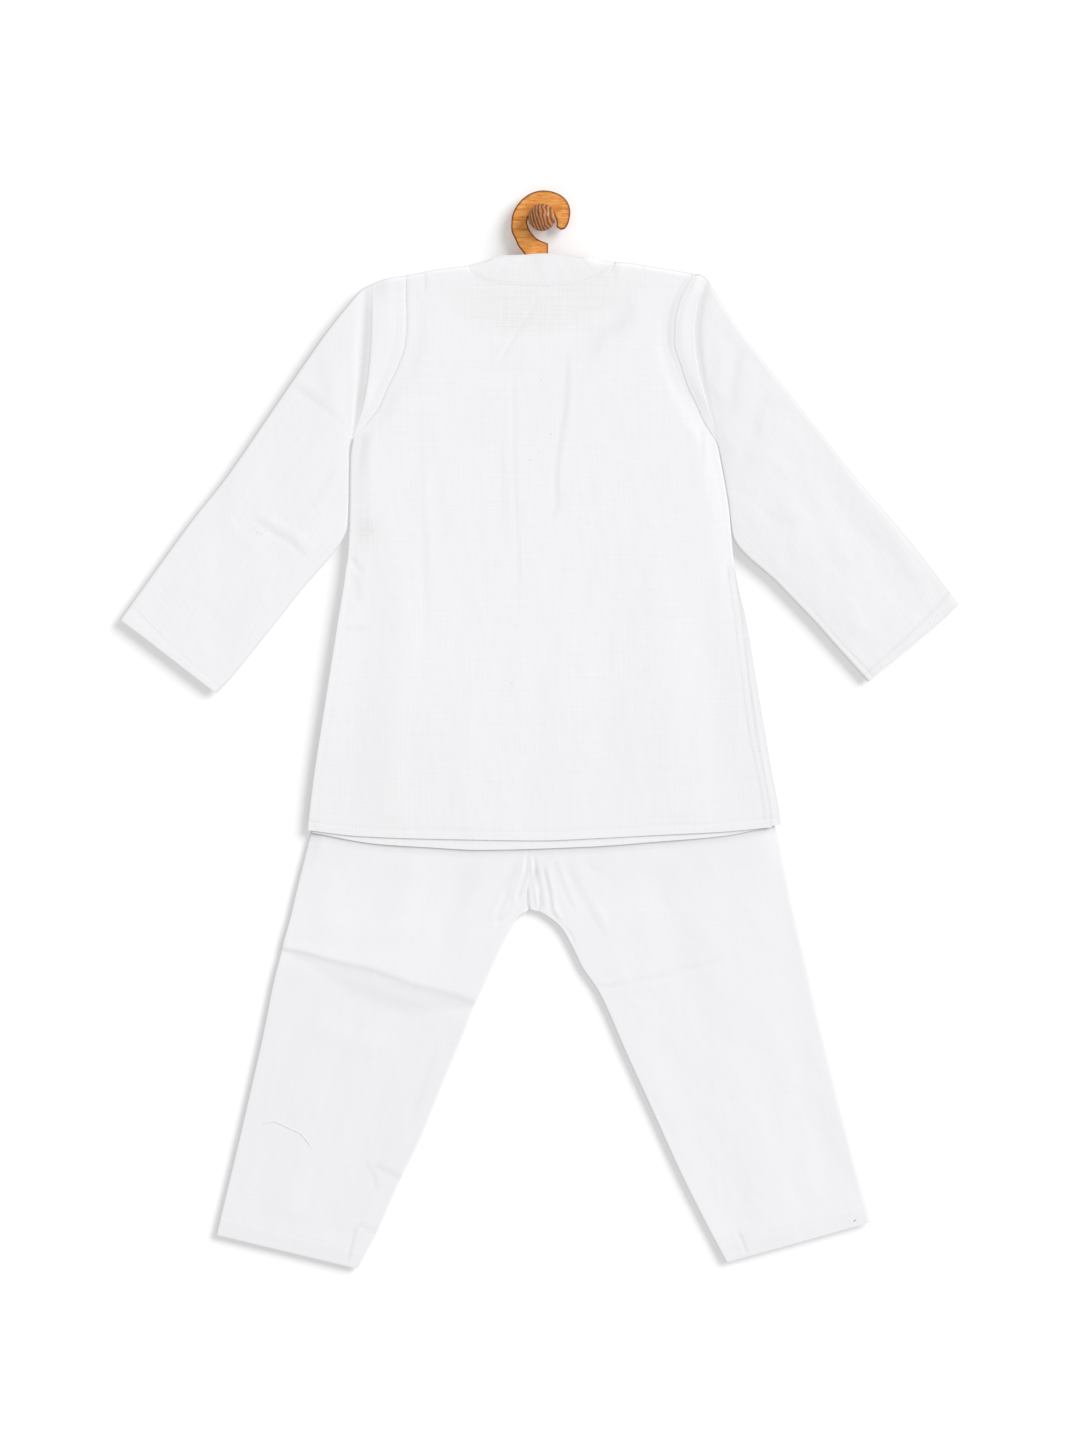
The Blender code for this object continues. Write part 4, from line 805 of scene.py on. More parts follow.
def panel(front):
    """Grid (x, down, out) of one panel, its attributes and where things lie on it."""
    side_count, neck_count, row_count = (34, 46, 150) if front else (46, 82, 200)
    left, left_down, right, right_down = body_edges(front)
    neck, hem = (NECK_FRONT, HEM_FRONT) if front else (NECK_BACK, HEM_BACK)
    facing = -1.0 if front else 1.0
    n_off = len(SIDE_OFFSETS)
    inner = np.linspace(0, 1, side_count + 1)[1:]
    even = np.linspace(0, 1, neck_count + 2)[1:-1]
    mid = 0.65 * even + 0.35 * (0.5 - 0.5 * np.cos(even * math.pi))
    cols = 2 * (n_off + side_count) + neck_count
    neck_first, neck_last = n_off + side_count - 1, n_off + side_count + neck_count

    def xs_at(down):
        """x of every column where the row is at down (one value a column)."""
        xl = pchip(down, left_down, left)
        xr = pchip(down, right_down, right)
        x = np.empty_like(down)
        last = SIDE_OFFSETS[-1]
        for j in range(cols):
            if j < n_off:
                x[:, j] = xl[:, j] + SIDE_OFFSETS[j]
            elif j <= neck_first:
                start = xl[:, j] + last
                x[:, j] = start + (NECK_LEFT - start) * inner[j - n_off]
            elif j < neck_last:
                x[:, j] = NECK_LEFT + (NECK_RIGHT - NECK_LEFT) * mid[j - neck_first - 1]
            elif j < cols - n_off:
                start = xr[:, j] - last
                x[:, j] = start + (NECK_RIGHT - start) * inner[cols - n_off - 1 - j]
            else:
                x[:, j] = xr[:, j] - SIDE_OFFSETS[cols - 1 - j]
        return x

    top_x = xs_at(np.full((1, cols), 50.0))[0]
    in_neck = (top_x > NECK_LEFT) & (top_x < NECK_RIGHT)
    top = np.where(in_neck, curve(neck, top_x), curve(SHOULDERS, top_x))
    bottom = curve(hem, xs_at(np.full((1, cols), 550.0))[0])
    down = [top + o for o in TOP_OFFSETS]
    start, end = top + TOP_OFFSETS[-1], bottom - HEM_OFFSETS[0]
    down += [start + (end - start) * f for f in np.linspace(0, 1, row_count + 1)[1:-1]]
    down += [bottom - o for o in HEM_OFFSETS]
    down = np.array(down)
    x = xs_at(down)
    xl, xr = pchip(down, left_down, left), pchip(down, right_down, right)
    left_reach, right_reach = x - xl, xr - x
    reach = np.minimum(left_reach, right_reach)
    below_top = down - top[None]
    to_hem = bottom[None] - down

    # half thickness of the garment here
    core = np.interp(down, column(CORE, 0), column(CORE, 1))
    edge = np.minimum(pchip(down, left_down, [OVER_BOARD] + column(BODY, 4)[1:]), core)
    half = edge + (core - edge) * smooth(reach / 20.0)
    # the side seam is rolled; the armhole is sewn down; the slit's edge is flat
    rolled = smooth((down - 190) / 12) * smooth((SLIT_DOWN + 4 - down) / 8)
    roll = np.sqrt(1 - (1 - np.clip(reach / 2.2, 0, 1)) ** 2)
    half = half - rolled * (1 - roll) * (half - 0.65)
    # over the hanger's top edge the cloth turns in to the shoulder line
    fold_in = np.sqrt(1 - (1 - np.clip(below_top / 4.2, 0, 1)) ** 2)
    from_neck = np.minimum(np.abs(top_x - NECK_LEFT), np.abs(top_x - NECK_RIGHT))
    start_half = np.where(in_neck, 0.6 + (OVER_BOARD - 0.6) * smooth(from_neck / 5.0), 0.6)
    half = start_half[None] + (half - start_half[None]) * fold_in
    # folds and unevenness
    calm = smooth(reach / 9.0) * smooth(below_top / 7.0)
    hem_calm = 0.35 + 0.65 * smooth(to_hem / 14.0)
    rise, shade = fold_sum(FRONT_FOLDS if front else BACK_FOLDS, x, down)
    rise = rise * (0.25 + 0.75 * smooth(reach / 5.0)) * smooth(below_top / 1.5)
    rough = ripples(x, down, 31 if front else 11, 0.19, 26, 120) + ripples(x, down, 32 if front else 12, 0.05, 9, 24)
    half = half + rise + rough * calm * hem_calm * (0.5 + 0.5 * smooth((down - 120) / 160))
    half = np.maximum(half, np.where(down > 300, 0.68, 0.0))
    # the armhole seams: a groove, and on the right the cloth sinks toward it
    arm = smooth((200 - down) / 8)
    width, amount, other = (np.interp(down, column(ARM_BANDS, 0), column(ARM_BANDS, k)) for k in (1, 2, 3))
    sunk = smooth((width - right_reach) / 2.4 + 0.5) * smooth(below_top / 3.0)
    half = half - 0.18 * arm * np.exp(-((reach / 1.1) ** 2)) - 0.15 * arm * sunk
    # painted shade in the sunk band beside the right armhole, a line of it along the right seam, and a band beside the
    # left seam
    band = smooth((width - right_reach) / 1.6 + 0.5)
    shade = shade + arm * (amount * band + 0.10 * np.exp(-((right_reach / 0.9) ** 2)) + other * np.exp(-((left_reach / 1.6) ** 2)))
    # doubled edges: the hem, and the slits' narrow turnings
    slit = smooth((down - SLIT_DOWN) / 5.0)
    doubled = np.maximum(0.17 * smooth((9.0 - to_hem) / 0.9), 0.16 * slit * smooth((6.6 - reach) / 0.9))
    stitched = 0.14 * np.exp(-(((to_hem - 8.0) / 0.9) ** 2)) + 0.10 * slit * np.exp(-(((reach - 5.6) / 0.9) ** 2))
    half = half + doubled - stitched
    # painted shade along the stitch lines, at the hem, and along the side edges below the armholes
    shade = shade + 0.08 * np.exp(-(((to_hem - 9.0) / 1.2) ** 2)) + 0.05 * slit * np.exp(-(((reach - 6.6) / 0.9) ** 2))
    shade = shade + 0.04 * np.exp(-((to_hem / 1.1) ** 2)) + 0.18 * np.exp(-((reach / 0.9) ** 2)) * (1 - arm)
    # painted shade along the shoulders' top edge, stronger to the right where the light falls on it; none round the
    # neck
    lit_edge = np.where(in_neck, 0.0, 0.16 + 0.34 * smooth((top_x + 30.0) / 100.0))
    shade = shade + lit_edge[None] * np.exp(-((below_top / 1.3) ** 2))
    # painted shade: a little darker toward the hem, and more on the lower left, as the light falls off there
    shade = shade + 0.045 * smooth((down - 380) / 130) + 0.04 * smooth((-60 - x) / 90) * smooth((down - 380) / 130)
    out = kurta_mid(down) + facing * half
    grid = np.stack([x, down, out], -1)
    # painted see-through of the hanger's board, and on the back a faint brownish patch above the left slit
    tint = 0.15 * seen_through(x, down) + (0.0 if front else 0.30) * np.exp(-(((x + 157.0) / 8.0) ** 2) - ((down - 281.0) / 12.0) ** 2)
    thickness = CLOTH - 0.17 + doubled
    attributes = {"cut": np.stack([x, down, np.full_like(x, 40.0 if front else 0.0)], -1), "shade": np.clip(shade, 0, 1), "tint": np.clip(tint, 0, 1)}
    places = {"neck": (neck_first, neck_last), "top": top, "reach": reach, "to_hem": to_hem, "cols": cols, "rows": down.shape[0]}
    return grid, attributes, thickness, places


def panel_stitches(grid, places, front):
    rows, cols = grid.shape[:2]
    lines = []
    hem_row = rows - len(HEM_OFFSETS) + int(np.where(HEM_OFFSETS == 8.0)[0][0])
    c = np.linspace(4, cols - 5, 900)
    p, n = sample(grid, np.full(c.shape, float(hem_row)), c)
    lines.append((p, n))
    slit_rows = [r for r in range(rows) if grid[r, 0, 1] > SLIT_DOWN + 2]
    col = np.interp(5.6, SIDE_OFFSETS, np.arange(len(SIDE_OFFSETS)))
    r = np.linspace(slit_rows[0], rows - 3, 500)
    for at in (col, cols - 1 - col):
        p, n = sample(grid, r, np.full(r.shape, at))
        lines.append((p, n))
    # across the top of each slit
    for at in (0.5, cols - 1.5):
        cc = np.linspace(at, col if at < 5 else cols - 1 - col, 20)
        p, n = sample(grid, np.full(cc.shape, slit_rows[0] - 0.5), cc)
        lines.append((p, n))
    facing = -1.0 if front else 1.0
    turned = []
    for p, n in lines:
        if n[len(n) // 2, 2] * facing < 0:
            n = -n
        turned.append((p, n))
    return turned


def build_panel(front):
    grid, attributes, thickness, places = panel(front)
    n = normals_of(grid)
    facing = -1.0 if front else 1.0
    turn = 1.0 if (n[..., 2].mean() * facing) > 0 else -1.0
    name = "kurta_front" if front else "kurta_back"
    piece = shell(name + "_cloth", grid, thickness, False, attributes, KURTA_COTTON, toward=np.full(grid.shape[:2], turn))
    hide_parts(name)
    thread = stitches(name + "_stitches", panel_stitches(grid, places, front), THREAD_WHITE)
    return piece, thread, grid, places


back_piece, back_thread, back_grid, back_places = build_panel(False)
front_piece, front_thread, front_grid, front_places = build_panel(True)


# ---------------------------------------------------------------- collar
def catmull(points, count):
    """Points spaced evenly along a smooth curve through the given ones."""
    points = np.asarray(points, float)
    ext = np.concatenate([[2 * points[0] - points[1]], points, [2 * points[-1] - points[-2]]])
    out = []
    for i in range(len(points) - 1):
        p0, p1, p2, p3 = ext[i : i + 4]
        # centripetal spacing keeps short steps from looping
        d1, d2, d3 = (max(np.linalg.norm(b - a), 1e-6) ** 0.5 for a, b in ((p0, p1), (p1, p2), (p2, p3)))
        m1 = (p1 - p0) / d1 - (p2 - p0) / (d1 + d2) + (p2 - p1) / d2
        m2 = (p2 - p1) / d2 - (p3 - p1) / (d2 + d3) + (p3 - p2) / d3
        m1, m2 = m1 * d2, m2 * d2
        for t in np.linspace(0, 1, 24, endpoint=False):
            t2, t3 = t * t, t * t * t
            out.append((2 * t3 - 3 * t2 + 1) * p1 + (t3 - 2 * t2 + t) * m1 + (3 * t2 - 2 * t3) * p2 + (t3 - t2) * m2)
    out.append(points[-1])
    out = np.array(out)
    s = np.concatenate([[0], np.cumsum(np.linalg.norm(np.diff(out[:, :3], axis=0), axis=1))])
    at = np.linspace(0, s[-1], count)
    return np.stack([np.interp(at, s, out[:, k]) for k in range(out.shape[1])], 1)


def collar():
    """The band stands on the necklines: seam line and top line round the neck."""
    first, last = back_places["neck"]
    stations = []

    def add(grid, j, facing, top_table):
        x, down, out = grid[3, j]
        top_x = grid[0, j, 0] * 0.68
        stations.append([x, down, out + facing * 0.16, top_x, float(curve(top_table, top_x)), grid[0, j, 2] + facing * 0.25])

    front_first, front_last = front_places["neck"]
    middle = (front_first + front_last) // 2
    picks = [first + 1, first + 3] + list(range(first + 6, last - 5, 4)) + [last - 3, last - 1]
    front_picks = [front_first + 1, front_first + 2] + list(range(front_first + 4, front_last - 3, 3)) + [front_last - 2, front_last - 1]
    centre_down = float(curve(NECK_FRONT, 0.0)) + 1.5
    depth_front = float(front_grid[3, middle, 2]) - 0.16
    stations.append([-0.4, centre_down, depth_front, -0.4, 88.0, depth_front - 0.25])
    for j in sorted(front_picks, reverse=True):
        if front_grid[0, j, 0] < -6:
            add(front_grid, j, -1.0, COLLAR_FRONT)
    stations.append([-66.9, 42.6, BOARD_MID, -45.3, 36.4, BOARD_MID])
    for j in sorted(picks):
        add(back_grid, j, 1.0, COLLAR_BACK)
    stations.append([66.0, 38.9, BOARD_MID, 45.3, 36.2, BOARD_MID])
    for j in sorted(front_picks, reverse=True):
        if front_grid[0, j, 0] > 6:
            add(front_grid, j, -1.0, COLLAR_FRONT)
    stations.append([0.4, centre_down, depth_front, 0.4, 88.0, depth_front - 0.25])
    line = catmull(np.array(stations), 420)
    seam, top = line[:, :3], line[:, 3:]
    shares = np.array([0.0, 0.03, 0.08, 0.16, 0.28, 0.42, 0.56, 0.70, 0.82, 0.90, 0.95, 0.985, 1.0])
    grid = seam[None] + (top - seam)[None] * shares[:, None, None]
    n = normals_of(grid)
    centre = np.array([0.0, 60.0, BOARD_MID])
    away = np.sign((n * (grid - centre) * np.array([0.0, 0.0, 1.0])).sum(-1).sum())
    n = n * away
    # a padded look: crowned between its two stitched edges
    crown = np.sin(math.pi * np.clip(shares, 0.06, 0.94)) ** 0.6
    wave = ripples(seam[:, 0][None] * np.ones_like(shares)[:, None], grid[..., 1], 77, 0.12, 14, 50)
    lift = (0.22 * crown - 0.08)[:, None] + wave * np.sin(math.pi * shares)[:, None]
    grid = grid + n * lift[..., None]
    n = normals_of(grid) * away
    thickness = (0.30 + 0.80 * smooth((shares - 0.06) / 0.12) - 0.3 * (shares > 0.97))[:, None] * np.ones(grid.shape[:2])
    s = np.concatenate([[0], np.cumsum(np.linalg.norm(np.diff(seam, axis=0), axis=1))])
    cut = np.stack(np.broadcast_arrays(s[None], shares[:, None] * 24, np.float64(90.0)), -1)
    # painted shade along the seam and the top edge, and toward the right end of the outer side where light falls
    # brightest; tint is the painted see-through of the board
    shade = 0.03 * np.exp(-((shares / 0.03) ** 2))[:, None] * np.ones(grid.shape[:2]) + 0.20 * np.exp(-(((1 - shares) / 0.03) ** 2))[:, None]
    x, down = grid[..., 0], grid[..., 1]
    tint = 0.11 * seen_through(x, down)
    shade = shade + 0.18 * smooth((x - 46.0) / 12.0) * (grid[..., 2] > BOARD_MID)
    attributes = {"cut": cut, "shade": np.clip(shade, 0, 1), "tint": np.clip(tint, 0, 1)}
    piece = shell("collar_cloth", grid, thickness, False, attributes, KURTA_COTTON, toward=np.full(grid.shape[:2], away))
    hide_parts("collar")
    lines = []
    for at in (2.2, 10.2):
        c = np.linspace(2, grid.shape[1] - 3, 1200)
        p, nn = sample(grid, np.full(c.shape, at), c)
        lines.append((p, nn * away))
    thread = stitches("collar_stitches", lines, THREAD_WHITE)
    return piece, thread


collar_piece, collar_thread = collar()


# ---------------------------------------------------------------- sleeves
def lagrange(points, w):
    """points: four arrays (rows, 2) at shares 0, 1/3, 2/3, 1; w: (rows, n)."""
    shares = (0.0, 1 / 3, 2 / 3, 1.0)
    total = 0.0
    for i, s in enumerate(shares):
        weight = np.ones_like(w)
        for j, other in enumerate(shares):
            if j != i:
                weight = weight * (w - other) / (s - other)
        total = total + weight[..., None] * points[i][:, None]
    return total


def tip_shares(length, count, tip):
    """Positions across a flattened tube, close together at both folded edges."""
    theta = np.linspace(0, math.pi / 2, 7)
    ends = tip * (1 - np.cos(theta))
    inner = np.linspace(tip, length - tip, count + 2)[1:-1]
    return np.concatenate([ends, inner, (length - ends)[::-1]]) / length


def tip_profile(mm_from_edge, tip):
    t = np.clip(mm_from_edge / tip, 0, 1)
    return np.sqrt(1 - (1 - t) ** 2)


# beside the pleat: down, width of the valley in shade, how dark
LEFT_VALLEY = ((60, 8, 0.0), (74, 9, 0.03), (92, 11, 0.05), (114, 12, 0.09), (141, 10.5, 0.12), (164, 9.5, 0.18), (177, 7.5, 0.26), (195, 4.5, 0.22), (215, 3, 0.08), (240, 2, 0.0))
RIGHT_VALLEY = ((50, 3, 0.08), (64, 5, 0.18), (83, 7.0, 0.17), (110, 7.4, 0.15), (137, 7.4, 0.13), (164, 4.8, 0.14), (190, 3.6, 0.12), (218, 3, 0.12), (245, 2, 0.0))
SLEEVE_TIP = 3.2


def sleeve(name, node_name, table, turn, folds_view, seed, step, crisp, valley):
    table = np.array(table, float)
    armhole = np.array([(row[0] if turn < 0 else row[2], row[1] if turn < 0 else row[3]) for row in BODY[: ARMPIT + 1]])
    arm_s = np.concatenate([[0], np.cumsum(np.linalg.norm(np.diff(armhole, axis=0), axis=1))])
    arm_s = arm_s / arm_s[-1]
    arm_half = np.array([OVER_BOARD] + column(BODY, 4)[1 : ARMPIT + 1])
    # rows of the sleeve proper, spaced along its length
    centre = (table[:, 2:4] + table[:, 4:6]) / 2
    along = np.concatenate([[0], np.cumsum(np.linalg.norm(np.diff(centre, axis=0), axis=1))])
    length = along[-1]
    cuff = np.array([14.0, 11.5, 9.8, 8.8, 8.2, 7.6, 6.6, 5.0, 3.4, 2.0, 1.0, 0.4, 0.0])
    near = np.array([0.5, 1.1, 1.8, 2.6, 3.6, 4.8, 6.2, 7.8, 9.6, 11.6, 13.6])
    rows = np.concatenate([near, np.linspace(16.0, length - 16.5, 112), length - cuff])
    values = [pchip(rows, along, table[:, k]) for k in range(10)]
    corners = [np.stack([values[2 * k], values[2 * k + 1]], -1) for k in range(4)]
    span = np.linalg.norm(corners[3] - corners[0], axis=1)
    edge_corners = [table[:1, 2 * k : 2 * k + 2] for k in range(4)]
    edge_span = np.linalg.norm(edge_corners[3] - edge_corners[0])
    direction = (centre[-1] - centre[2]) / np.linalg.norm(centre[-1] - centre[2])
    to_cuff = (length - rows)[:, None]
    bulge = np.array(PLEAT_TOPS[turn]) - (armhole[0] + table[0, 0:2]) / 2

    def layer(view):
        count = 62 if view else 26
        w = np.stack([tip_shares(s, count, SLEEVE_TIP) for s in span])
        flat = lagrange(corners, w)
        share = tip_shares(edge_span, count, SLEEVE_TIP)
        edge_line = lagrange(edge_corners, share[None])[0]
        hole = np.stack([pchip(share, arm_s, armhole[:, k]) for k in range(2)], -1)
        outward = edge_line - hole
        gap = np.linalg.norm(outward, axis=1)
        outward = outward / (gap[:, None] + 1e-9)
        body_half = pchip(share, arm_s, arm_half)
        full = np.interp(share * 9, np.arange(10), (1.0,) + AT_SEAM[1:])
        low = EDGE + ((2.3 if view else 2.6) - EDGE) * full
        open_share = smooth(share / (0.10 if crisp else 0.22)) * smooth((1.0 - share) / 0.35)
        edge_half = low + (step if view else 1.0) * (0.35 + 0.65 * open_share) * np.minimum(1.0, full * 2)
        down_edge = edge_line[:, 1]
        proud = (0.12 if crisp else 0.04) * smooth(share / 0.12) * smooth((1 - share) / 0.3) if view else 0.0 * share
        made = []
        for mm in (-1.8, -0.9, 0.0, 0.45, 0.9, 1.6, 2.6):
            at = np.minimum(mm, 0.35 * gap) if mm > 0 else np.full(gap.shape, mm)
            # tucked under the body's edge, then up beside it
            rise = {-1.8: -1.10, -0.9: -0.90, 0.0: -0.34, 0.45: -0.23, 0.9: -0.13, 1.6: -0.04, 2.6: 0.02}[mm]
            swell = proud * smooth(mm / 2.2)
            # painted shade along the armhole seam
            made.append((hole + outward * at[:, None], body_half + rise + swell, np.zeros(share.shape) + (0.20 if mm < 0.6 else 0.10 if mm < 1.2 else 0.0)))
        for f in (0.12, 0.19, 0.27, 0.35, 0.43, 0.51, 0.59, 0.67, 0.75, 0.82, 0.88, 0.93, 0.97):
            at = np.where(gap > 6.0, 2.6 + (gap - 2.6) * f, gap * (0.35 + 0.65 * f))
            xy = hole + outward * at[:, None] + bulge[None] * ((1 - share) ** 4 * 4 * f * (1 - f))[:, None]
            half = body_half + (edge_half - body_half) * smooth((f - (0.35 if not crisp else 0.15)) / (0.65 if not crisp else 0.7))
            half = half + proud * (1 - 0.4 * f) + 0.28 * math.sin(math.pi * f) * full
            soft = (0.0 if crisp else 0.16) * np.exp(-(((at - 9.0) / 3.6) ** 2)) * full * smooth(gap / 20.0)
            # painted shade in the strip's soft dip, and over the whole right strip to dim where the light falls on it
            shade = (0.0 if crisp else 0.04) * np.exp(-(((at - 9.0) / 3.2) ** 2)) * smooth(gap / 20.0) + (0.09 if crisp and view else 0.0)
            made.append((xy, half - soft, shade * np.ones(share.shape)))
        crest = edge_half + proud * 0.6
        # painted shade over the rolled edge of the right strip
        if crisp and view:
            for out, drop in ((0.0, 0.0), (0.32, 0.10), (0.45, 0.32), (0.40, 0.58), (0.10, 0.76), (-0.35, 0.88), (-0.55, 0.96), (-0.2, 1.0)):
                made.append((edge_line + outward * (out * open_share)[:, None], crest + (low - crest) * drop, np.full(share.shape, 0.2)))
        xs = np.stack([m[0] for m in made])
        # the sleeve proper
        arm_share = np.clip(rows / 150.0, 0, 1)[:, None]
        rises = np.interp(w * 9, np.arange(10), (1.0,) + AT_SEAM[1:]) * (1 - arm_share) + np.interp(w * 9, np.arange(10), (0.9, 0.95) + ALONG_ARM[2:]) * arm_share
        target = values[8] if view else values[9]
        target = np.where(rows < along[2], table[2, 8 if view else 9], target)
        first = 2.3 if view else 2.6
        v0, v1 = (1.0, 9.0) if crisp else (8.0, 10.0)
        h = first + (target - first) * smooth((rows - v0) / v1)
        half = EDGE + (h[:, None] - EDGE) * rises
        if not (crisp and view):
            # the strip's edge rolls over, then the cloth slopes down to the valley's floor
            fall = 9.5 if view else 3.4
            drop = 1 - 0.22 * smooth(rows / 1.2) - 0.78 * smooth(rows / fall)
            half = half + (crest - low)[None] * drop[:, None]
        x, down = flat[..., 0], flat[..., 1]
        mm_edge = np.minimum(w, 1 - w) * span[:, None]
        calm = smooth(mm_edge / 10.0) * smooth(rows / 16.0)[:, None]
        run = x * direction[0] + down * direction[1]
        cross = x * -direction[1] + down * direction[0]
        shade = np.zeros(x.shape)
        if view:
            rise, shade = fold_sum(folds_view, x, down)
            # painted shade: a little over the whole sleeve, more on the right one, and in the valley beside the pleat
            shade = shade + (0.05 if turn > 0 else 0.03)
            half = half + rise * smooth(mm_edge / 6.0)
            width = np.interp(down, column(valley, 0), column(valley, 1))
            amount = np.interp(down, column(valley, 0), column(valley, 2))
            shade = shade + amount * smooth((width - rows[:, None]) / 3.2 + 0.5)
        else:
            # like folds on the side toward the wall, with painted shade in them
            rise, dark = fold_sum(folds_view, x + 8.0, down - 13.0)
            half = half + 0.8 * rise * calm
            shade = shade + 1.6 * dark * calm
        shift = 0 if view else 2
        half = half + (ripples(cross, run, seed + shift, 0.20, 22, 90) + ripples(cross, run, seed + 1 + shift, 0.06, 8, 22)) * calm
        half = half + 0.26 * smooth((9.0 - to_cuff) / 0.9) - 0.14 * np.exp(-(((to_cuff - 8.2) / 0.9) ** 2))
        # painted shade along the cuff's stitch line and at its edge
        shade = shade + 0.10 * np.exp(-(((to_cuff - 9.2) / 1.2) ** 2)) + 0.16 * np.exp(-((to_cuff / 1.0) ** 2))
        # underarm seam: on the right arm it lies a little inside the lower edge, with painted shade along it
        seam = np.exp(-((((1 - w) * span[:, None] - (6.5 if turn > 0 else 1.2)) / 1.0) ** 2)) * smooth(rows / 14.0)[:, None]
        half = half - 0.30 * seam
        shade = shade + 0.12 * seam
        all_xy = np.concatenate([xs, flat])
        all_half = np.concatenate([np.stack([m[1] for m in made]), half])
        all_shade = np.concatenate([np.stack([m[2] for m in made]), shade])
        mm_all = np.concatenate([np.tile(np.minimum(share, 1 - share) * edge_span, (len(made), 1)), mm_edge])
        # painted shade along the folded edges, wider and darker on the right sleeve's upper half where the light
        # strikes
        lit = 0.22 if turn < 0 else 0.22 + 0.55 * (np.concatenate([np.tile(share, (len(made), 1)), w]) < 0.5)
        wide = 0.9 if turn < 0 else 0.9 + 0.9 * (np.concatenate([np.tile(share, (len(made), 1)), w]) < 0.5)
        all_shade = all_shade + lit * np.exp(-((mm_all / wide) ** 2))
        across = np.concatenate([np.tile(share * edge_span, (len(made), 1)), w * span[:, None]])
        back = np.array([-np.interp(k, (0, len(made) - 1), (30.0, 1.0)) for k in range(len(made))])
        runs = np.concatenate([back, rows])[:, None] * np.ones(across.shape)
        t = np.concatenate([np.linspace(0, 0.05, len(made)), 0.05 + 0.95 * rows / length])[:, None]
        mid = kurta_mid(all_xy[..., 1]) * (1 - t) + SLEEVE_MID_CUFF * t
        out = mid + (1 if view else -1) * all_half * tip_profile(mm_all, SLEEVE_TIP)
        grid = np.concatenate([all_xy, out[..., None]], -1)
        cut = np.stack([across if view else -across, runs, np.full(across.shape, 150.0 * (1 + turn) + 100)], -1)
        return grid, all_shade, cut, len(made)

    view_grid, view_shade, view_cut, view_rows = layer(True)
    wall_grid, wall_shade, wall_cut, wall_rows = layer(False)
    if view_rows > wall_rows:
        # the wall side has no tuck: its row at the fold is repeated close together
        more = view_rows - wall_rows
        def pad(a):
            steps = np.linspace(0, 1, more + 2)[1:-1]
            lo, hi = a[wall_rows - 1], a[wall_rows]
            return np.concatenate([a[:wall_rows], np.stack([lo + (hi - lo) * s for s in steps]), a[wall_rows:]])
        wall_grid, wall_shade, wall_cut = pad(wall_grid), pad(wall_shade), pad(wall_cut)
    both = lambda a, b: np.concatenate([a[:, ::-1], b[:, 1:-1]], axis=1)
    grid = both(view_grid, wall_grid)
    shade_all = both(view_shade, wall_shade)
    # painted see-through of the hanger's board at the sleeves' tops
    tint = 0.14 * seen_through(grid[..., 0], grid[..., 1])
    n = normals_of(grid, wrap=True)
    away = np.sign(n[60:, 30, 2].mean())
    piece = shell(name, grid, np.full(grid.shape[:2], 0.45), True, {"cut": both(view_cut, wall_cut), "shade": np.clip(shade_all, 0, 1), "tint": np.clip(tint, 0, 1)}, KURTA_COTTON, toward=np.full(grid.shape[:2], away))
    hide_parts(node_name)
    cuff_row = grid.shape[0] - len(cuff) + int(np.where(cuff == 8.2)[0][0])
    c = np.linspace(2, grid.shape[1] - 3, 700)
    p, nn = sample(grid, np.full(c.shape, float(cuff_row)), c)
    thread = stitches(name + "_stitches", [(p, nn * away)], THREAD_WHITE)
    return piece, thread, grid


left_sleeve, left_thread, left_arm = sleeve("sleeve_left_cloth", "sleeve_left", LEFT_SLEEVE, -1, LEFT_SLEEVE_FOLDS, 51, 2.35, False, LEFT_VALLEY)
right_sleeve, right_thread, right_arm = sleeve("sleeve_right_cloth", "sleeve_right", RIGHT_SLEEVE, 1, RIGHT_SLEEVE_FOLDS, 61, 1.5, True, RIGHT_VALLEY)


# ---------------------------------------------------------------- pyjama legs
LEG_TIP = 1.8
# below the left leg's crosswise fold: share across, how far down its shade goes
FOLD_SHADE = ((0.0, 0.1, 0.25, 0.4, 0.61, 0.77, 0.92, 1.0), (3.0, 9.0, 18.0, 25.0, 27.0, 22.0, 11.0, 5.0))


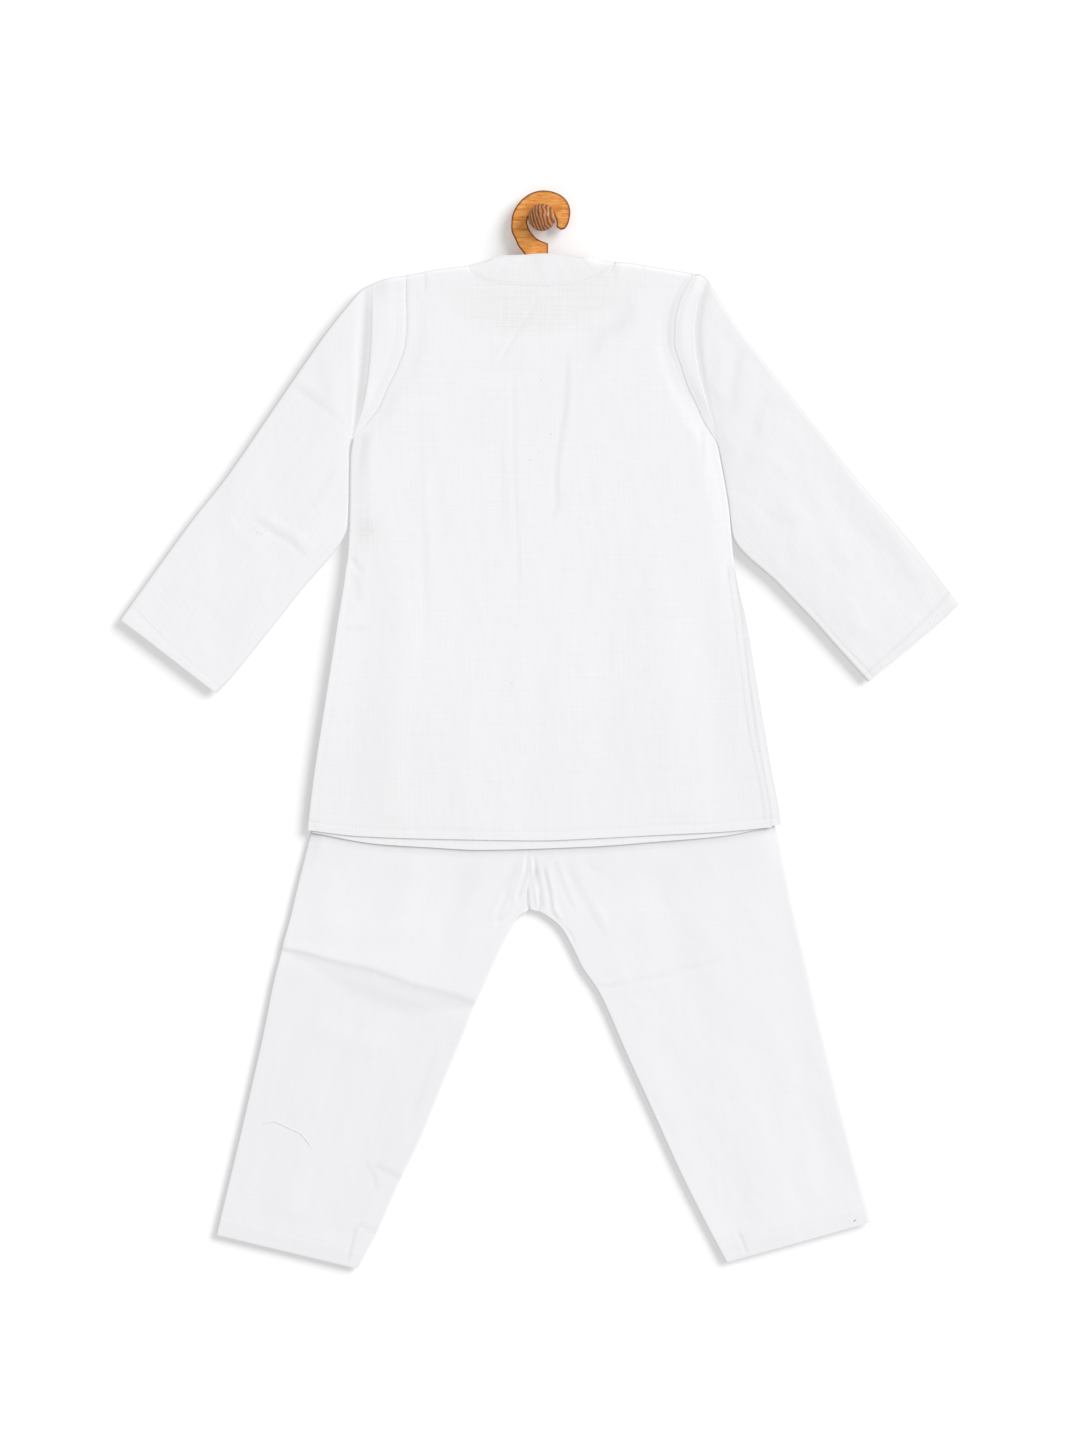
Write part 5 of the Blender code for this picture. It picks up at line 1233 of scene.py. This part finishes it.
def leg(name, node_name, table, turn, folds_view, seed, big_fold):
    """turn is -1 for the viewer's left leg. big_fold: table row of its crest, or None."""
    table = np.array(table, float)
    centre = (table[:, 0:2] + table[:, 2:4]) / 2
    along = np.concatenate([[0], np.cumsum(np.linalg.norm(np.diff(centre, axis=0), axis=1))])
    length = along[-1]
    hem = np.array([24.0, 21.0, 18.6, 17.2, 16.4, 15.6, 14.8, 13.0, 10.0, 7.0, 4.5, 2.4, 1.1, 0.4, 0.0])
    if big_fold is None:
        crest = None
        rows = np.concatenate([np.linspace(0, length - 27.0, 172), length - hem])
    else:
        crest = (along[big_fold] + along[big_fold + 1]) / 2
        steps = np.array([11.5, 9.2, 7.2, 5.6, 4.2, 3.0, 2.1, 1.4, 0.8, 0.3])
        rows = np.concatenate([np.linspace(0, crest - 14.0, 64), crest - steps, crest + steps[::-1], np.linspace(crest + 14.0, length - 27.0, 86), length - hem])
    values = [pchip(rows, along, table[:, k]) for k in range(4)]
    outer_edge = np.stack(values[0:2], -1)
    inner_edge = np.stack(values[2:4], -1)
    open_top = smooth((CROTCH_DOWN - 3 - inner_edge[:, 1]) / 6.0)[:, None]
    # the two legs meet in the centre seam
    inner_edge[:, 0] += (-11.8 - inner_edge[:, 0] - 0.10 * turn) * open_top[:, 0]
    flat_half = table[:, 4].copy()
    if big_fold is not None:
        flat_half[big_fold], flat_half[big_fold + 1] = 2.3, 2.2
    h = 1.25 + 0.8 * (pchip(rows, along, flat_half) - LEG_HALF)
    span = np.linalg.norm(inner_edge - outer_edge, axis=1)
    theta = np.linspace(0, math.pi / 2, 6)
    ends = LEG_TIP * (1 - np.cos(theta))
    seam_ends = np.array([0.0, 0.35, 0.9, 1.6, 2.4])
    lean = math.atan2(*(centre[-1] - centre[5]))
    to_hem = (length - rows)[:, None]

    def layer(view):
        count = 96 if view else 34
        power = np.linspace(0, 1, count + 1)[1:] ** (1.45 if view else 1.1)
        w = []
        for s in span:
            middle = s - 2.4 - (s - 2.4 - LEG_TIP) * power[:-1]
            w.append(np.concatenate([ends, middle[::-1], s - seam_ends[::-1]]) / s)
        w = np.stack(w)
        flat = outer_edge[:, None] + (inner_edge - outer_edge)[:, None] * w[..., None]
        x, down = flat[..., 0], flat[..., 1]
        mm_out, mm_in = w * span[:, None], (1 - w) * span[:, None]
        full = EDGE * 0.8 + (h[:, None] - EDGE * 0.8) * (0.9 + 0.1 * smooth(mm_out / 20.0)) if view else np.full(x.shape, 1.2)
        closed = 0.6 + (full - 0.6) * np.sqrt(1 - (1 - np.clip(mm_in / 2.2, 0, 1)) ** 2)
        half = full * open_top + closed * (1 - open_top)
        groove = np.exp(-((mm_in / 0.9) ** 2)) * open_top
        low = smooth((down - 592) / 22.0)
        half = half - (0.06 + 0.24 * low) * groove
        # painted shade in the centre seam's groove below the waist
        shade = (0.0 + 0.24 * low) * groove
        calm = smooth(mm_out / 9.0) * smooth(mm_in / 9.0)
        run = x * math.sin(lean) + down * math.cos(lean)
        cross = x * math.cos(lean) - down * math.sin(lean)
        shift = 0 if view else 2
        half = half + (ripples(cross, run, seed + shift, 0.21, 30, 130) + ripples(cross, run, seed + 1 + shift, 0.06, 10, 28)) * calm
        if view:
            rise, dark = fold_sum(folds_view, x, down)
            half = half + rise * (0.3 + 0.7 * smooth(mm_out / 5.0)) * smooth(mm_in / 1.2)
            shade = shade + dark
            under_hem = down - curve(HEM_FRONT, np.clip(x, -206.5, 215.5))
            # pressed up against the kurta's hem
            half = half + 1.35 * np.exp(-((np.maximum(under_hem, 0) / 30.0) ** 2)) * np.exp(-((np.minimum(under_hem, 0) / 40.0) ** 2)) * smooth(mm_out / 12.0)
            # painted shadow of the kurta's hem on the leg just below it
            shade = shade + 0.50 * np.clip(1 - np.maximum(under_hem, 0) / 8.0, 0, 1) ** 1.3
        else:
            # like folds on the side toward the wall, with painted shade in them
            rise, dark = fold_sum(folds_view, x - 7.0, down - 16.0)
            half = half + 0.8 * rise * calm
            shade = shade + 1.6 * dark * calm
        half = half + 0.26 * smooth((16.6 - to_hem) / 1.0) - 0.14 * np.exp(-(((to_hem - 15.6) / 0.9) ** 2))
        # painted shade along the hem's stitch line, at its edge and over the turned band
        shade = shade + 0.06 * np.exp(-(((to_hem - 16.8) / 1.2) ** 2)) + 0.14 * np.exp(-((to_hem / 1.0) ** 2)) + 0.05 * smooth((17.0 - to_hem) / 1.5)
        if crest is not None and view:
            # the crosswise fold: a soft crest, a quick drop, painted shade below it, and a little painted shade over
            # the whole leg below
            off = (rows - crest)[:, None] + 2.0 * np.sin(mm_out / span[:, None] * 5.0) + 0.8 * np.sin(mm_out / 11.0)
            drop_in = smooth(mm_out / 4.0)
            half = half + 0.60 * np.exp(-((np.minimum(off, 0) / 15.0) ** 2)) * (1 - smooth((off + 2.5) / 7.5)) * (0.35 + 0.65 * drop_in)
            half = half - 0.25 * np.exp(-(((off - 7.0) / 7.0) ** 2))
            reach = np.interp(w, FOLD_SHADE[0], FOLD_SHADE[1])
            shade = shade + 0.17 * smooth(off / 2.5 + 0.3) * (1 - smooth((off - 0.7 * reach) / (0.55 * reach)))
            shade = shade + 0.07 * smooth(off / 30.0)
        elif crest is not None:
            off = (rows - crest)[:, None]
            half = half + 0.5 * np.exp(-((off / 10.0) ** 2)) * calm
        # painted shade along the outer folded edge, heavy on the right leg where the light strikes it, and along the
        # closed inner edge
        shade = shade + (0.14 if turn < 0 else 0.6) * np.exp(-((mm_out / 0.8) ** 2)) + 0.14 * np.exp(-((mm_in / 0.9) ** 2)) * (1 - open_top)
        half = half * tip_profile(mm_out, LEG_TIP)
        out = leg_mid(down) + (1 if view else -1) * half
        grid = np.concatenate([flat, out[..., None]], -1)
        cut = np.stack([mm_out if view else -mm_out, np.tile(rows[:, None], (1, w.shape[1])), np.full(x.shape, 700.0 + 60 * turn)], -1)
        return grid, shade, cut

    view_grid, view_shade, view_cut = layer(True)
    wall_grid, wall_shade, wall_cut = layer(False)
    # from the viewer's inner edge over the outer fold to the wall's inner edge
    both = lambda a, b: np.concatenate([a[:, ::-1], b[:, 1:]], axis=1)
    grid = both(view_grid, wall_grid)
    n = normals_of(grid)
    away = np.sign(n[:, 40, 2].mean())
    shade_all = both(view_shade, wall_shade)
    piece = shell(name, grid, np.full(grid.shape[:2], 0.42), False, {"cut": both(view_cut, wall_cut), "shade": np.clip(shade_all, 0, 1), "tint": np.zeros(grid.shape[:2])}, PYJAMA_COTTON, toward=np.full(grid.shape[:2], away))
    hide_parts(node_name)
    hem_row = grid.shape[0] - len(hem) + int(np.where(hem == 15.6)[0][0])
    c = np.linspace(1, grid.shape[1] - 2, 800)
    p, nn = sample(grid, np.full(c.shape, float(hem_row)), c)
    thread = stitches(name + "_stitches", [(p, nn * away)], THREAD_WHITE)
    return piece, thread, grid


left_leg, left_leg_thread, left_grid = leg("pyjama_leg_left_cloth", "pyjama_leg_left", LEFT_LEG, -1, LEFT_LEG_FOLDS, 71, 7)
right_leg, right_leg_thread, right_grid = leg("pyjama_leg_right_cloth", "pyjama_leg_right", RIGHT_LEG, 1, RIGHT_LEG_FOLDS, 81, None)


# ---------------------------------------------------------------- loose threads and specks
def depth_at(grid, x, down):
    """How far out the viewer's side of a piece lies at a point."""
    points = grid.reshape(-1, 3)
    far = np.hypot(points[:, 0] - x, points[:, 1] - down)
    close = far < max(4.0, np.sort(far)[3])
    out = points[close, 2]
    upper = out > out.max() - 1.2
    weight = 1.0 / (far[close][upper] + 0.2) ** 2
    return float((out[upper] * weight).sum() / weight.sum())


def tube(grid, path, radius, lift):
    """A short round thread lying on a piece. Returns (verts, quads)."""
    path = np.array(path, float)
    s = np.concatenate([[0], np.cumsum(np.linalg.norm(np.diff(path, axis=0), axis=1))])
    at = np.linspace(0, s[-1], max(6, int(s[-1] / 1.5)))
    line = np.stack([np.interp(at, s, path[:, k]) for k in range(2)], 1)
    out = np.array([depth_at(grid, *p) for p in line])
    centre = np.column_stack([line, out + lift])
    t = np.gradient(centre, axis=0)
    t /= np.linalg.norm(t, axis=1, keepdims=True)
    side = np.cross(t, np.array([0.0, 0.0, 1.0]))
    side /= np.linalg.norm(side, axis=1, keepdims=True)
    up = np.cross(side, t)
    thin = radius * np.sqrt(np.clip(1 - np.abs(np.linspace(-1, 1, len(at))) ** 6, 0.05, 1))[:, None]
    ring = np.stack([centre + thin * (side * math.cos(math.pi * k / 3) + up * math.sin(math.pi * k / 3)) for k in range(6)], 1)
    quads = []
    for i in range(len(at) - 1):
        for k in range(6):
            m = (k + 1) % 6
            quads.append((i * 6 + k, i * 6 + m, i * 6 + 6 + m, i * 6 + 6 + k))
    end = (len(at) - 1) * 6
    quads += [(0, 3, 2, 1), (0, 5, 4, 3), (end, end + 1, end + 2, end + 3), (end, end + 3, end + 4, end + 5)]
    return ring.reshape(-1, 3), np.array(quads)


def joined(name, parts, material):
    verts, quads, count = [], [], 0
    for v, q in parts:
        verts.append(v)
        quads.append(q + count)
        count += len(v)
    return add_piece(name, make_mesh(name, to_metres(np.concatenate(verts)), np.concatenate(quads)), material, sharp=0)


SPECK = thread_material("speck_brown", (0.60, 0.40, 0.36))
DARK_THREAD = thread_material("thread_grey", (0.16, 0.15, 0.16))
# x, down, length of each faint fleck
BODY_SPECKS = ((-152, 281.5, 1.0), (8.2, 194.2, 1.3), (-0.8, 145.6, 1.0), (-2.6, 210.4, 0.8), (-10.7, 217.6, 0.8), (-26.9, 418.3, 1.3))
LEFT_ARM_SPECKS = ((-324.8, 396.8, 1.0), (-320.5, 400.4, 0.8), (-316.7, 403.1, 1.0), (-259.1, 278.8, 1.2), (-256.2, 283.0, 1.3), (-252.6, 284.2, 1.3), (-248.4, 281.6, 1.1))
RIGHT_ARM_SPECKS = ((355.6, 357.1, 1.2), (349.3, 364.3, 1.0), (305.2, 403.9, 0.9))
flecks = []
for grid, table in ((back_grid, BODY_SPECKS), (left_arm, LEFT_ARM_SPECKS), (right_arm, RIGHT_ARM_SPECKS)):
    for x, down, size in table:
        flecks.append(tube(grid, [(x - size / 2, down + 0.2), (x + size / 2, down - 0.2)], 0.34, -0.12))
joined("kurta_specks", flecks, SPECK)
joined("leg_loose_thread", [tube(left_grid, [(-252, 816.0), (-246, 814.2), (-241, 813.0), (-229, 818.5), (-217, 824.0), (-211, 831.5), (-206.5, 838.0)], 0.36, 0.10)], THREAD_WHITE)
joined("hem_thread_end", [tube(right_grid, [(280.6, 903.6), (281.8, 902.4), (283.2, 901.4)], 0.30, 0.05)], DARK_THREAD)


# ---------------------------------------------------------------- waistband
def waistband():
    """The casing stands on the legs' top edges: gathered a little, and sewn down."""
    loop = np.concatenate([left_grid[0][::-1], right_grid[0][1:]])
    keep = np.ones(len(loop), bool)
    loop = loop[keep]
    shares = np.array([0.0, 0.02, 0.06, 0.12, 0.25, 0.40, 0.55, 0.70, 0.84, 0.92, 0.97, 1.0])
    height = WAIST_LOW - WAIST_DOWN
    grid = np.stack([np.stack([loop[:, 0] * (1 - 0.02 * s), loop[:, 1] - 0.4 - height * s, loop[:, 2]], -1) for s in shares])
    n = normals_of(grid)
    away = np.sign((n[..., 2] * (grid[..., 2] - LEG_MID_TOP)).sum())
    n = n * away
    rng = np.random.default_rng(91)
    puck = np.zeros(grid.shape[:2])
    s = np.concatenate([[0], np.cumsum(np.linalg.norm(np.diff(loop, axis=0), axis=1))])
    for _ in range(46):
        at, width, size = rng.random() * s[-1], 3.0 + 3.0 * rng.random(), 0.25 * rng.random() + 0.12
        puck += size * np.exp(-(((s - at) / width) ** 2))[None]
    lift = (0.25 * np.sin(math.pi * shares) ** 0.5)[:, None] + puck * np.sin(math.pi * np.clip(shares, 0.1, 0.9))[:, None] * 0.5
    tips = np.abs(grid[..., 2] - LEG_MID_TOP) < 1.2
    grid = grid + n * (lift * np.where(tips, 0.2, 1.0))[..., None]
    cut = np.stack(np.broadcast_arrays(s[None], shares[:, None] * height, np.float64(500.0)), -1)
    # painted shade in a line just below the top edge
    shade = 0.2 * np.exp(-(((shares - 0.06) / 0.04) ** 2))[:, None] * np.ones(grid.shape[:2])
    piece = shell("pyjama_waistband_cloth", grid, np.full(grid.shape[:2], 0.7), False, {"cut": cut, "shade": shade, "tint": np.zeros(grid.shape[:2])}, PYJAMA_COTTON, toward=np.full(grid.shape[:2], away))
    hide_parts("pyjama_waistband")
    lines = []
    for at in (2.2, 9.4):
        c = np.linspace(2, grid.shape[1] - 3, 1200)
        p, nn = sample(grid, np.full(c.shape, at), c)
        lines.append((p, nn * away))
    thread = stitches("pyjama_waistband_stitches", lines, THREAD_WHITE)
    return piece, thread


waist_piece, waist_thread = waistband()


# ---------------------------------------------------------------- placket and buttons
def placket():
    """A strip lying on the front panel, ending in a point, with buttons down it."""
    first, last = front_places["neck"]
    cols = front_grid.shape[1]
    xs_mid = front_grid[60, :, 0]
    across = np.linspace(-PLACKET_HALF, PLACKET_HALF, 33)
    rows_down = np.concatenate([[curve(NECK_FRONT, 0.0)], np.linspace(112, PLACKET_POINT, 90)])
    grid = np.zeros((len(rows_down), len(across), 3))
    from_point = PLACKET_POINT - PLACKET_END
    for i, d in enumerate(rows_down):
        for j, x in enumerate(across):
            top = float(curve(NECK_FRONT, x)) + 0.6
            end = PLACKET_END + from_point * (1 - abs(x) / PLACKET_HALF)
            share = i / (len(rows_down) - 1)
            down = top + (end - top) * share
            grid[i, j, 0], grid[i, j, 1] = x, down
    # depth of the panel under each point
    flat_x, flat_d = grid[..., 0].ravel(), grid[..., 1].ravel()
    panel_x = front_grid[:, first - 2 : last + 3, 0]
    panel_d = front_grid[:, first - 2 : last + 3, 1]
    panel_o = front_grid[:, first - 2 : last + 3, 2]
    depth = np.empty(flat_x.shape)
    cx = panel_x[60]
    for k, (x, d) in enumerate(zip(flat_x, flat_d)):
        j = np.clip(np.searchsorted(cx, x) - 1, 0, len(cx) - 2)
        t = (x - cx[j]) / (cx[j + 1] - cx[j])
        a = np.interp(d, panel_d[:, j], panel_o[:, j])
        b = np.interp(d, panel_d[:, j + 1], panel_o[:, j + 1])
        depth[k] = a + (b - a) * t
    depth = depth.reshape(grid.shape[:2])
    mm_side = PLACKET_HALF - np.abs(grid[..., 0])
    swell = 0.25 * smooth(mm_side / 3.0) - 0.12 * np.exp(-(((mm_side - 2.0) / 0.8) ** 2))
    grid[..., 2] = depth - 0.95 - swell
    n = normals_of(grid)
    away = -np.sign(n[..., 2].mean())
    cut = np.stack([grid[..., 0], grid[..., 1], np.full(grid.shape[:2], 260.0)], -1)
    # painted shade in the stitched groove along each side
    shade = 0.15 * np.exp(-(((mm_side - 2.0) / 0.8) ** 2))
    piece = shell("placket_cloth", grid, np.full(grid.shape[:2], 0.75), False, {"cut": cut, "shade": shade, "tint": np.zeros(grid.shape[:2])}, KURTA_COTTON, toward=np.full(grid.shape[:2], away))
    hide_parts("placket")
    lines = []
    inset = 2.0 / (across[1] - across[0])
    r = np.linspace(1, grid.shape[0] - 3, 500)
    for c in (inset, len(across) - 1 - inset):
        p, nn = sample(grid, r, np.full(r.shape, c))
        lines.append((p, nn * away))
    c = np.linspace(inset, len(across) - 1 - inset, 120)
    for at in (grid.shape[0] - 2.2, grid.shape[0] - 10.0):
        p, nn = sample(grid, np.full(c.shape, at), c)
        lines.append((p, nn * away))
    # buttonholes: close bars round a short slot
    for down in BUTTON_DOWNS:
        for side in (-1.2, 1.2):
            x = side
            r0 = np.interp(down - 8, grid[:, 16, 1], np.arange(grid.shape[0]))
            r1 = np.interp(down + 8, grid[:, 16, 1], np.arange(grid.shape[0]))
            rr = np.linspace(r0, r1, 40)
            p, nn = sample(grid, rr, np.full(rr.shape, 16 + x / (across[1] - across[0])))
            lines.append((p, nn * away))
    thread = stitches("placket_stitches", lines, THREAD_WHITE)
    return piece, thread, grid


placket_piece, placket_thread, placket_grid = placket()


def revolve(profile, segments):
    """A lathed solid about the out axis: profile of (radius, out), both ends on the axis."""
    angles = np.arange(segments) * 2 * math.pi / segments
    ring = [(r, o) for r, o in profile if r > 1e-9]
    verts = [(r * math.cos(a), r * math.sin(a), o) for r, o in ring for a in angles]
    first, last = len(verts), len(verts) + 1
    verts += [(0, 0, profile[0][1]), (0, 0, profile[-1][1])]
    quads, tris = [], []
    for i in range(len(ring) - 1):
        for k in range(segments):
            m = (k + 1) % segments
            quads.append((i * segments + k, i * segments + m, (i + 1) * segments + m, (i + 1) * segments + k))
    for k in range(segments):
        m = (k + 1) % segments
        tris.append((first, k, m))
        tris.append((last, (len(ring) - 1) * segments + m, (len(ring) - 1) * segments + k))
    # turn the caps the way the sides face
    tris = [t[::-1] for t in tris]
    return np.array(verts, float), quads, tris


def buttons():
    for number, down in enumerate(BUTTON_DOWNS, 1):
        lo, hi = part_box(f"button_{number}")
        centre_out = -(lo[1] + hi[1]) / 2 / MM
        r, t = BUTTON_R, BUTTON_T / 2
        profile = [(0, -t), (r * 0.25, -t), (r * 0.52, -t * 0.95), (r * 0.66, -t * 0.75), (r * 0.74, -t * 0.95), (r * 0.85, -t * 1.0), (r * 0.95, -t * 0.8), (r, -t * 0.2), (r, t * 0.3), (r * 0.9, t * 0.85), (r * 0.6, t), (0, t)]
        verts, quads, tris = revolve(profile, 40)
        # (a, b, out) to (x, down, out); the face with the dish looks to the wall
        pts = np.stack([verts[:, 0], down + verts[:, 1], centre_out + verts[:, 2]], -1)
        mesh = make_mesh(f"button_{number}_shell", to_metres(pts), quads, None, tris)
        piece = add_piece(f"button_{number}_shell", mesh, BUTTON_SHELL, sharp=40)
        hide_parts(f"button_{number}")
        lines = []
        for a, b in (((-1.1, -1.1), (1.1, 1.1)), ((-1.1, 1.1), (1.1, -1.1))):
            s = np.linspace(0, 1, 12)
            p = np.stack([a[0] + (b[0] - a[0]) * s, down + a[1] + (b[1] - a[1]) * s, np.full(s.shape, centre_out - t - 0.05) - 0.25 * np.sin(math.pi * s)], -1)
            lines.append(p)
        ring_verts, ring_quads, count = [], [], 0
        for p in lines:
            tangent = np.gradient(p, axis=0)
            tangent /= np.linalg.norm(tangent, axis=1, keepdims=True)
            side = np.cross(tangent, np.array([0, 0, 1.0]))
            side /= np.linalg.norm(side, axis=1, keepdims=True)
            up = np.cross(side, tangent)
            k = 8
            v = np.stack([p + 0.28 * (math.cos(2 * math.pi * q / k) * side + math.sin(2 * math.pi * q / k) * up) for q in range(k)], 1).reshape(-1, 3)
            for i in range(len(p) - 1):
                for q in range(k):
                    m = (q + 1) % k
                    ring_quads.append((count + i * k + q, count + i * k + m, count + (i + 1) * k + m, count + (i + 1) * k + q))
            end = count + (len(p) - 1) * k
            ring_quads += [(count + 0, count + 3, count + 2, count + 1), (count + 0, count + 7, count + 4, count + 3), (count + 7, count + 6, count + 5, count + 4), (end + 0, end + 1, end + 2, end + 3), (end + 0, end + 3, end + 4, end + 7), (end + 4, end + 5, end + 6, end + 7)]
            ring_verts.append(v)
            count += len(v)
        mesh = make_mesh(f"button_{number}_thread", to_metres(np.concatenate(ring_verts)), np.array(ring_quads))
        add_piece(f"button_{number}_thread", mesh, THREAD_WHITE, sharp=0)


buttons()


# ---------------------------------------------------------------- hanger and knob
def hanger():
    """The board, its outline smoothed, with eased edges and scorched sides."""
    hook = [(r * math.cos(math.radians(a)), HOOK_DOWN - r * math.sin(math.radians(a))) for a, r in HOOK_OUTER]
    inner = [(HOOK_R * math.cos(math.radians(a)), HOOK_DOWN - HOOK_R * math.sin(math.radians(a))) for a in np.linspace(182, -13, 40)]
    outline = []
    hook_curve = catmull(np.array(hook), 130)
    outline += [tuple(p) for p in hook_curve]
    # straight to the left of the stem, then the arms in short smooth runs
    runs = [list(ARMS[0:9]), list(ARMS[8:10]), list(ARMS[9:20]), list(ARMS[19:28])]
    for run in runs:
        run_curve = catmull(np.array(run), 16 * len(run))
        outline += [tuple(p) for p in run_curve]
    throat = catmull(np.array([HOOK_THROAT[2], HOOK_THROAT[1], HOOK_THROAT[0], inner[0]]), 26)
    outline += [tuple(p) for p in throat[:-1]]
    outline += inner
    pts = np.array(outline)
    keep = [0]
    for k in range(1, len(pts)):
        if np.linalg.norm(pts[k] - pts[keep[-1]]) > 0.35:
            keep.append(k)
    if np.linalg.norm(pts[keep[-1]] - pts[0]) < 0.35:
        keep.pop()
    pts = pts[keep]
    area = 0.5 * np.sum(pts[:, 0] * np.roll(pts[:, 1], -1) - np.roll(pts[:, 0], -1) * pts[:, 1])
    if area < 0:
        pts = pts[::-1]
    edge = np.roll(pts, -1, axis=0) - pts
    edge /= np.linalg.norm(edge, axis=1, keepdims=True)
    normal = np.stack([edge[:, 1], -edge[:, 0]], 1)
    normal = normal + np.roll(normal, 1, axis=0)
    normal /= np.linalg.norm(normal, axis=1, keepdims=True)
    n = len(pts)
    half = BOARD / 2
    bevel = 0.5
    rings = [(bevel, -half), (bevel * 0.35, -half + bevel * 0.35), (0.0, -half + bevel), (0.0, 0.0), (0.0, half - bevel), (bevel * 0.35, half - bevel * 0.35), (bevel, half), (1.1, half), (2.0, half)]
    verts, burn = [], []
    rings = [(2.0, -half), (1.1, -half)] + rings
    for inset, out in rings:
        for p, q in zip(pts, normal):
            verts.append((p[0] - q[0] * inset, p[1] - q[1] * inset, BOARD_MID + out))
            burn.append(0.0 if inset > 1.5 else (0.45 if inset > 0.9 else 1.0))
    quads = []
    for i in range(len(rings) - 1):
        for k in range(n):
            m = (k + 1) % n
            quads.append((i * n + k, i * n + m, (i + 1) * n + m, (i + 1) * n + k))
    from mathutils.geometry import tessellate_polygon
    from mathutils import Vector
    flat = [Vector((verts[k][0], verts[k][1], 0.0)) for k in range(n)]
    tri_front = tessellate_polygon([flat])
    top = (len(rings) - 1) * n
    tris = []
    for a, b, c in tri_front:
        pa, pb, pc = flat[a], flat[b], flat[c]
        ccw = (pb.x - pa.x) * (pc.y - pa.y) - (pb.y - pa.y) * (pc.x - pa.x) > 0
        a, b, c = (a, b, c) if ccw else (a, c, b)
        tris.append((a, c, b))
        tris.append((top + a, top + b, top + c))
    mesh = make_mesh("hanger_board", to_metres(np.array(verts, float)), quads, {"burn": np.array(burn)}, tris)
    piece = add_piece("hanger_board", mesh, HANGER_WOOD, sharp=35)
    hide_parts("hanger")
    return piece


def knob():
    reach = math.sqrt(KNOB_R**2 - KNOB_NECK_R**2)
    centre = KNOB_NECK + reach
    lowest = math.atan2(-reach, KNOB_NECK_R)
    profile = [(0.0, centre + KNOB_R)]
    for i in range(1, 41):
        a = math.pi / 2 + (lowest - math.pi / 2) * i / 40
        profile.append((KNOB_R * math.cos(a), centre + KNOB_R * math.sin(a)))
    for k in range(1, 9):
        profile.append((KNOB_NECK_R, KNOB_NECK * (1 - k / 8)))
    profile[-1] = (KNOB_NECK_R - 0.3, 0.0)
    profile.insert(-1, (KNOB_NECK_R, 0.35))
    profile.append((0.0, 0.0))
    verts, quads, tris = revolve(profile, 72)
    pts = np.stack([verts[:, 0], verts[:, 1], verts[:, 2]], -1)
    mesh = make_mesh("knob_turned", to_metres(pts), quads, None, tris)
    piece = add_piece("knob_turned", mesh, KNOB_WOOD, sharp=35)
    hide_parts("wall_knob")


hanger()
knob()


# ---------------------------------------------------------------- stage, light, camera
def stage_plane(name, corners, color, glow, see_through_back):
    mesh = bpy.data.meshes.new(name)
    mesh.from_pydata(corners, [], [(0, 1, 2, 3)])
    material, tree = nodes_for(name + "_paint")
    shader = node(tree, "ShaderNodeBsdfPrincipled", Roughness=0.95)
    shader.inputs["Specular IOR Level"].default_value = 0.0
    shader.inputs["Base Color"].default_value = (*color, 1.0)
    shader.inputs["Emission Color"].default_value = (1.0, 1.0, 1.0, 1.0)
    shader.inputs["Emission Strength"].default_value = glow
    out = tree.nodes.new("ShaderNodeOutputMaterial")
    if see_through_back:
        clear = tree.nodes.new("ShaderNodeBsdfTransparent")
        mixer = tree.nodes.new("ShaderNodeMixShader")
        facing = tree.nodes.new("ShaderNodeNewGeometry")
        link(tree, facing.outputs["Backfacing"], mixer.inputs[0])
        link(tree, shader.outputs[0], mixer.inputs[1])
        link(tree, clear.outputs[0], mixer.inputs[2])
        link(tree, mixer.outputs[0], out.inputs[0])
    else:
        link(tree, shader.outputs[0], out.inputs[0])
    mesh.materials.append(material)
    obj = bpy.data.objects.new(name, mesh)
    bpy.context.scene.collection.objects.link(obj)
    obj.visible_diffuse = False
    obj.visible_glossy = False
    obj.visible_transmission = False
    obj.visible_shadow = False
    return obj


WALL_Y = 0.0006
stage_plane("wall", [(-4, WALL_Y, -1.16), (4, WALL_Y, -1.16), (4, WALL_Y, 2.5), (-4, WALL_Y, 2.5)], (0.95, 0.95, 0.95), 0.08, True)
stage_plane("floor", [(-4, -9, -1.16), (4, -9, -1.16), (4, 4, -1.16), (-4, 4, -1.16)], (0.90, 0.90, 0.90), 0.05, False)

world = bpy.data.worlds.new("studio")
bpy.context.scene.world = world
world.use_nodes = True
world.node_tree.nodes["Background"].inputs[0].default_value = (1.0, 1.0, 1.0, 1.0)
world.node_tree.nodes["Background"].inputs[1].default_value = 0.655

sun = bpy.data.lights.new("key", "SUN")
sun.energy = 2.15
sun.angle = math.radians(38)
sun.color = (1.0, 1.0, 1.0)
key = bpy.data.objects.new("key", sun)
bpy.context.scene.collection.objects.link(key)
from mathutils import Vector

key.rotation_euler = Vector((1.1, -1.0, 0.78)).to_track_quat("Z", "Y").to_euler()

camera_data = bpy.data.cameras.new("camera")
camera_data.sensor_width = 36.0
camera_data.lens = 200.0
camera_data.clip_end = 50.0
camera = bpy.data.objects.new("camera", camera_data)
camera.location = (-0.0017, -7.211, -0.4516)
camera.rotation_euler = (math.pi / 2, 0.0, 0.0)
bpy.context.scene.collection.objects.link(camera)
bpy.context.scene.camera = camera

scene = bpy.context.scene
scene.view_settings.view_transform = "Standard"
scene.view_settings.look = "None"
scene.view_settings.exposure = 0.0
scene.view_settings.gamma = 1.0
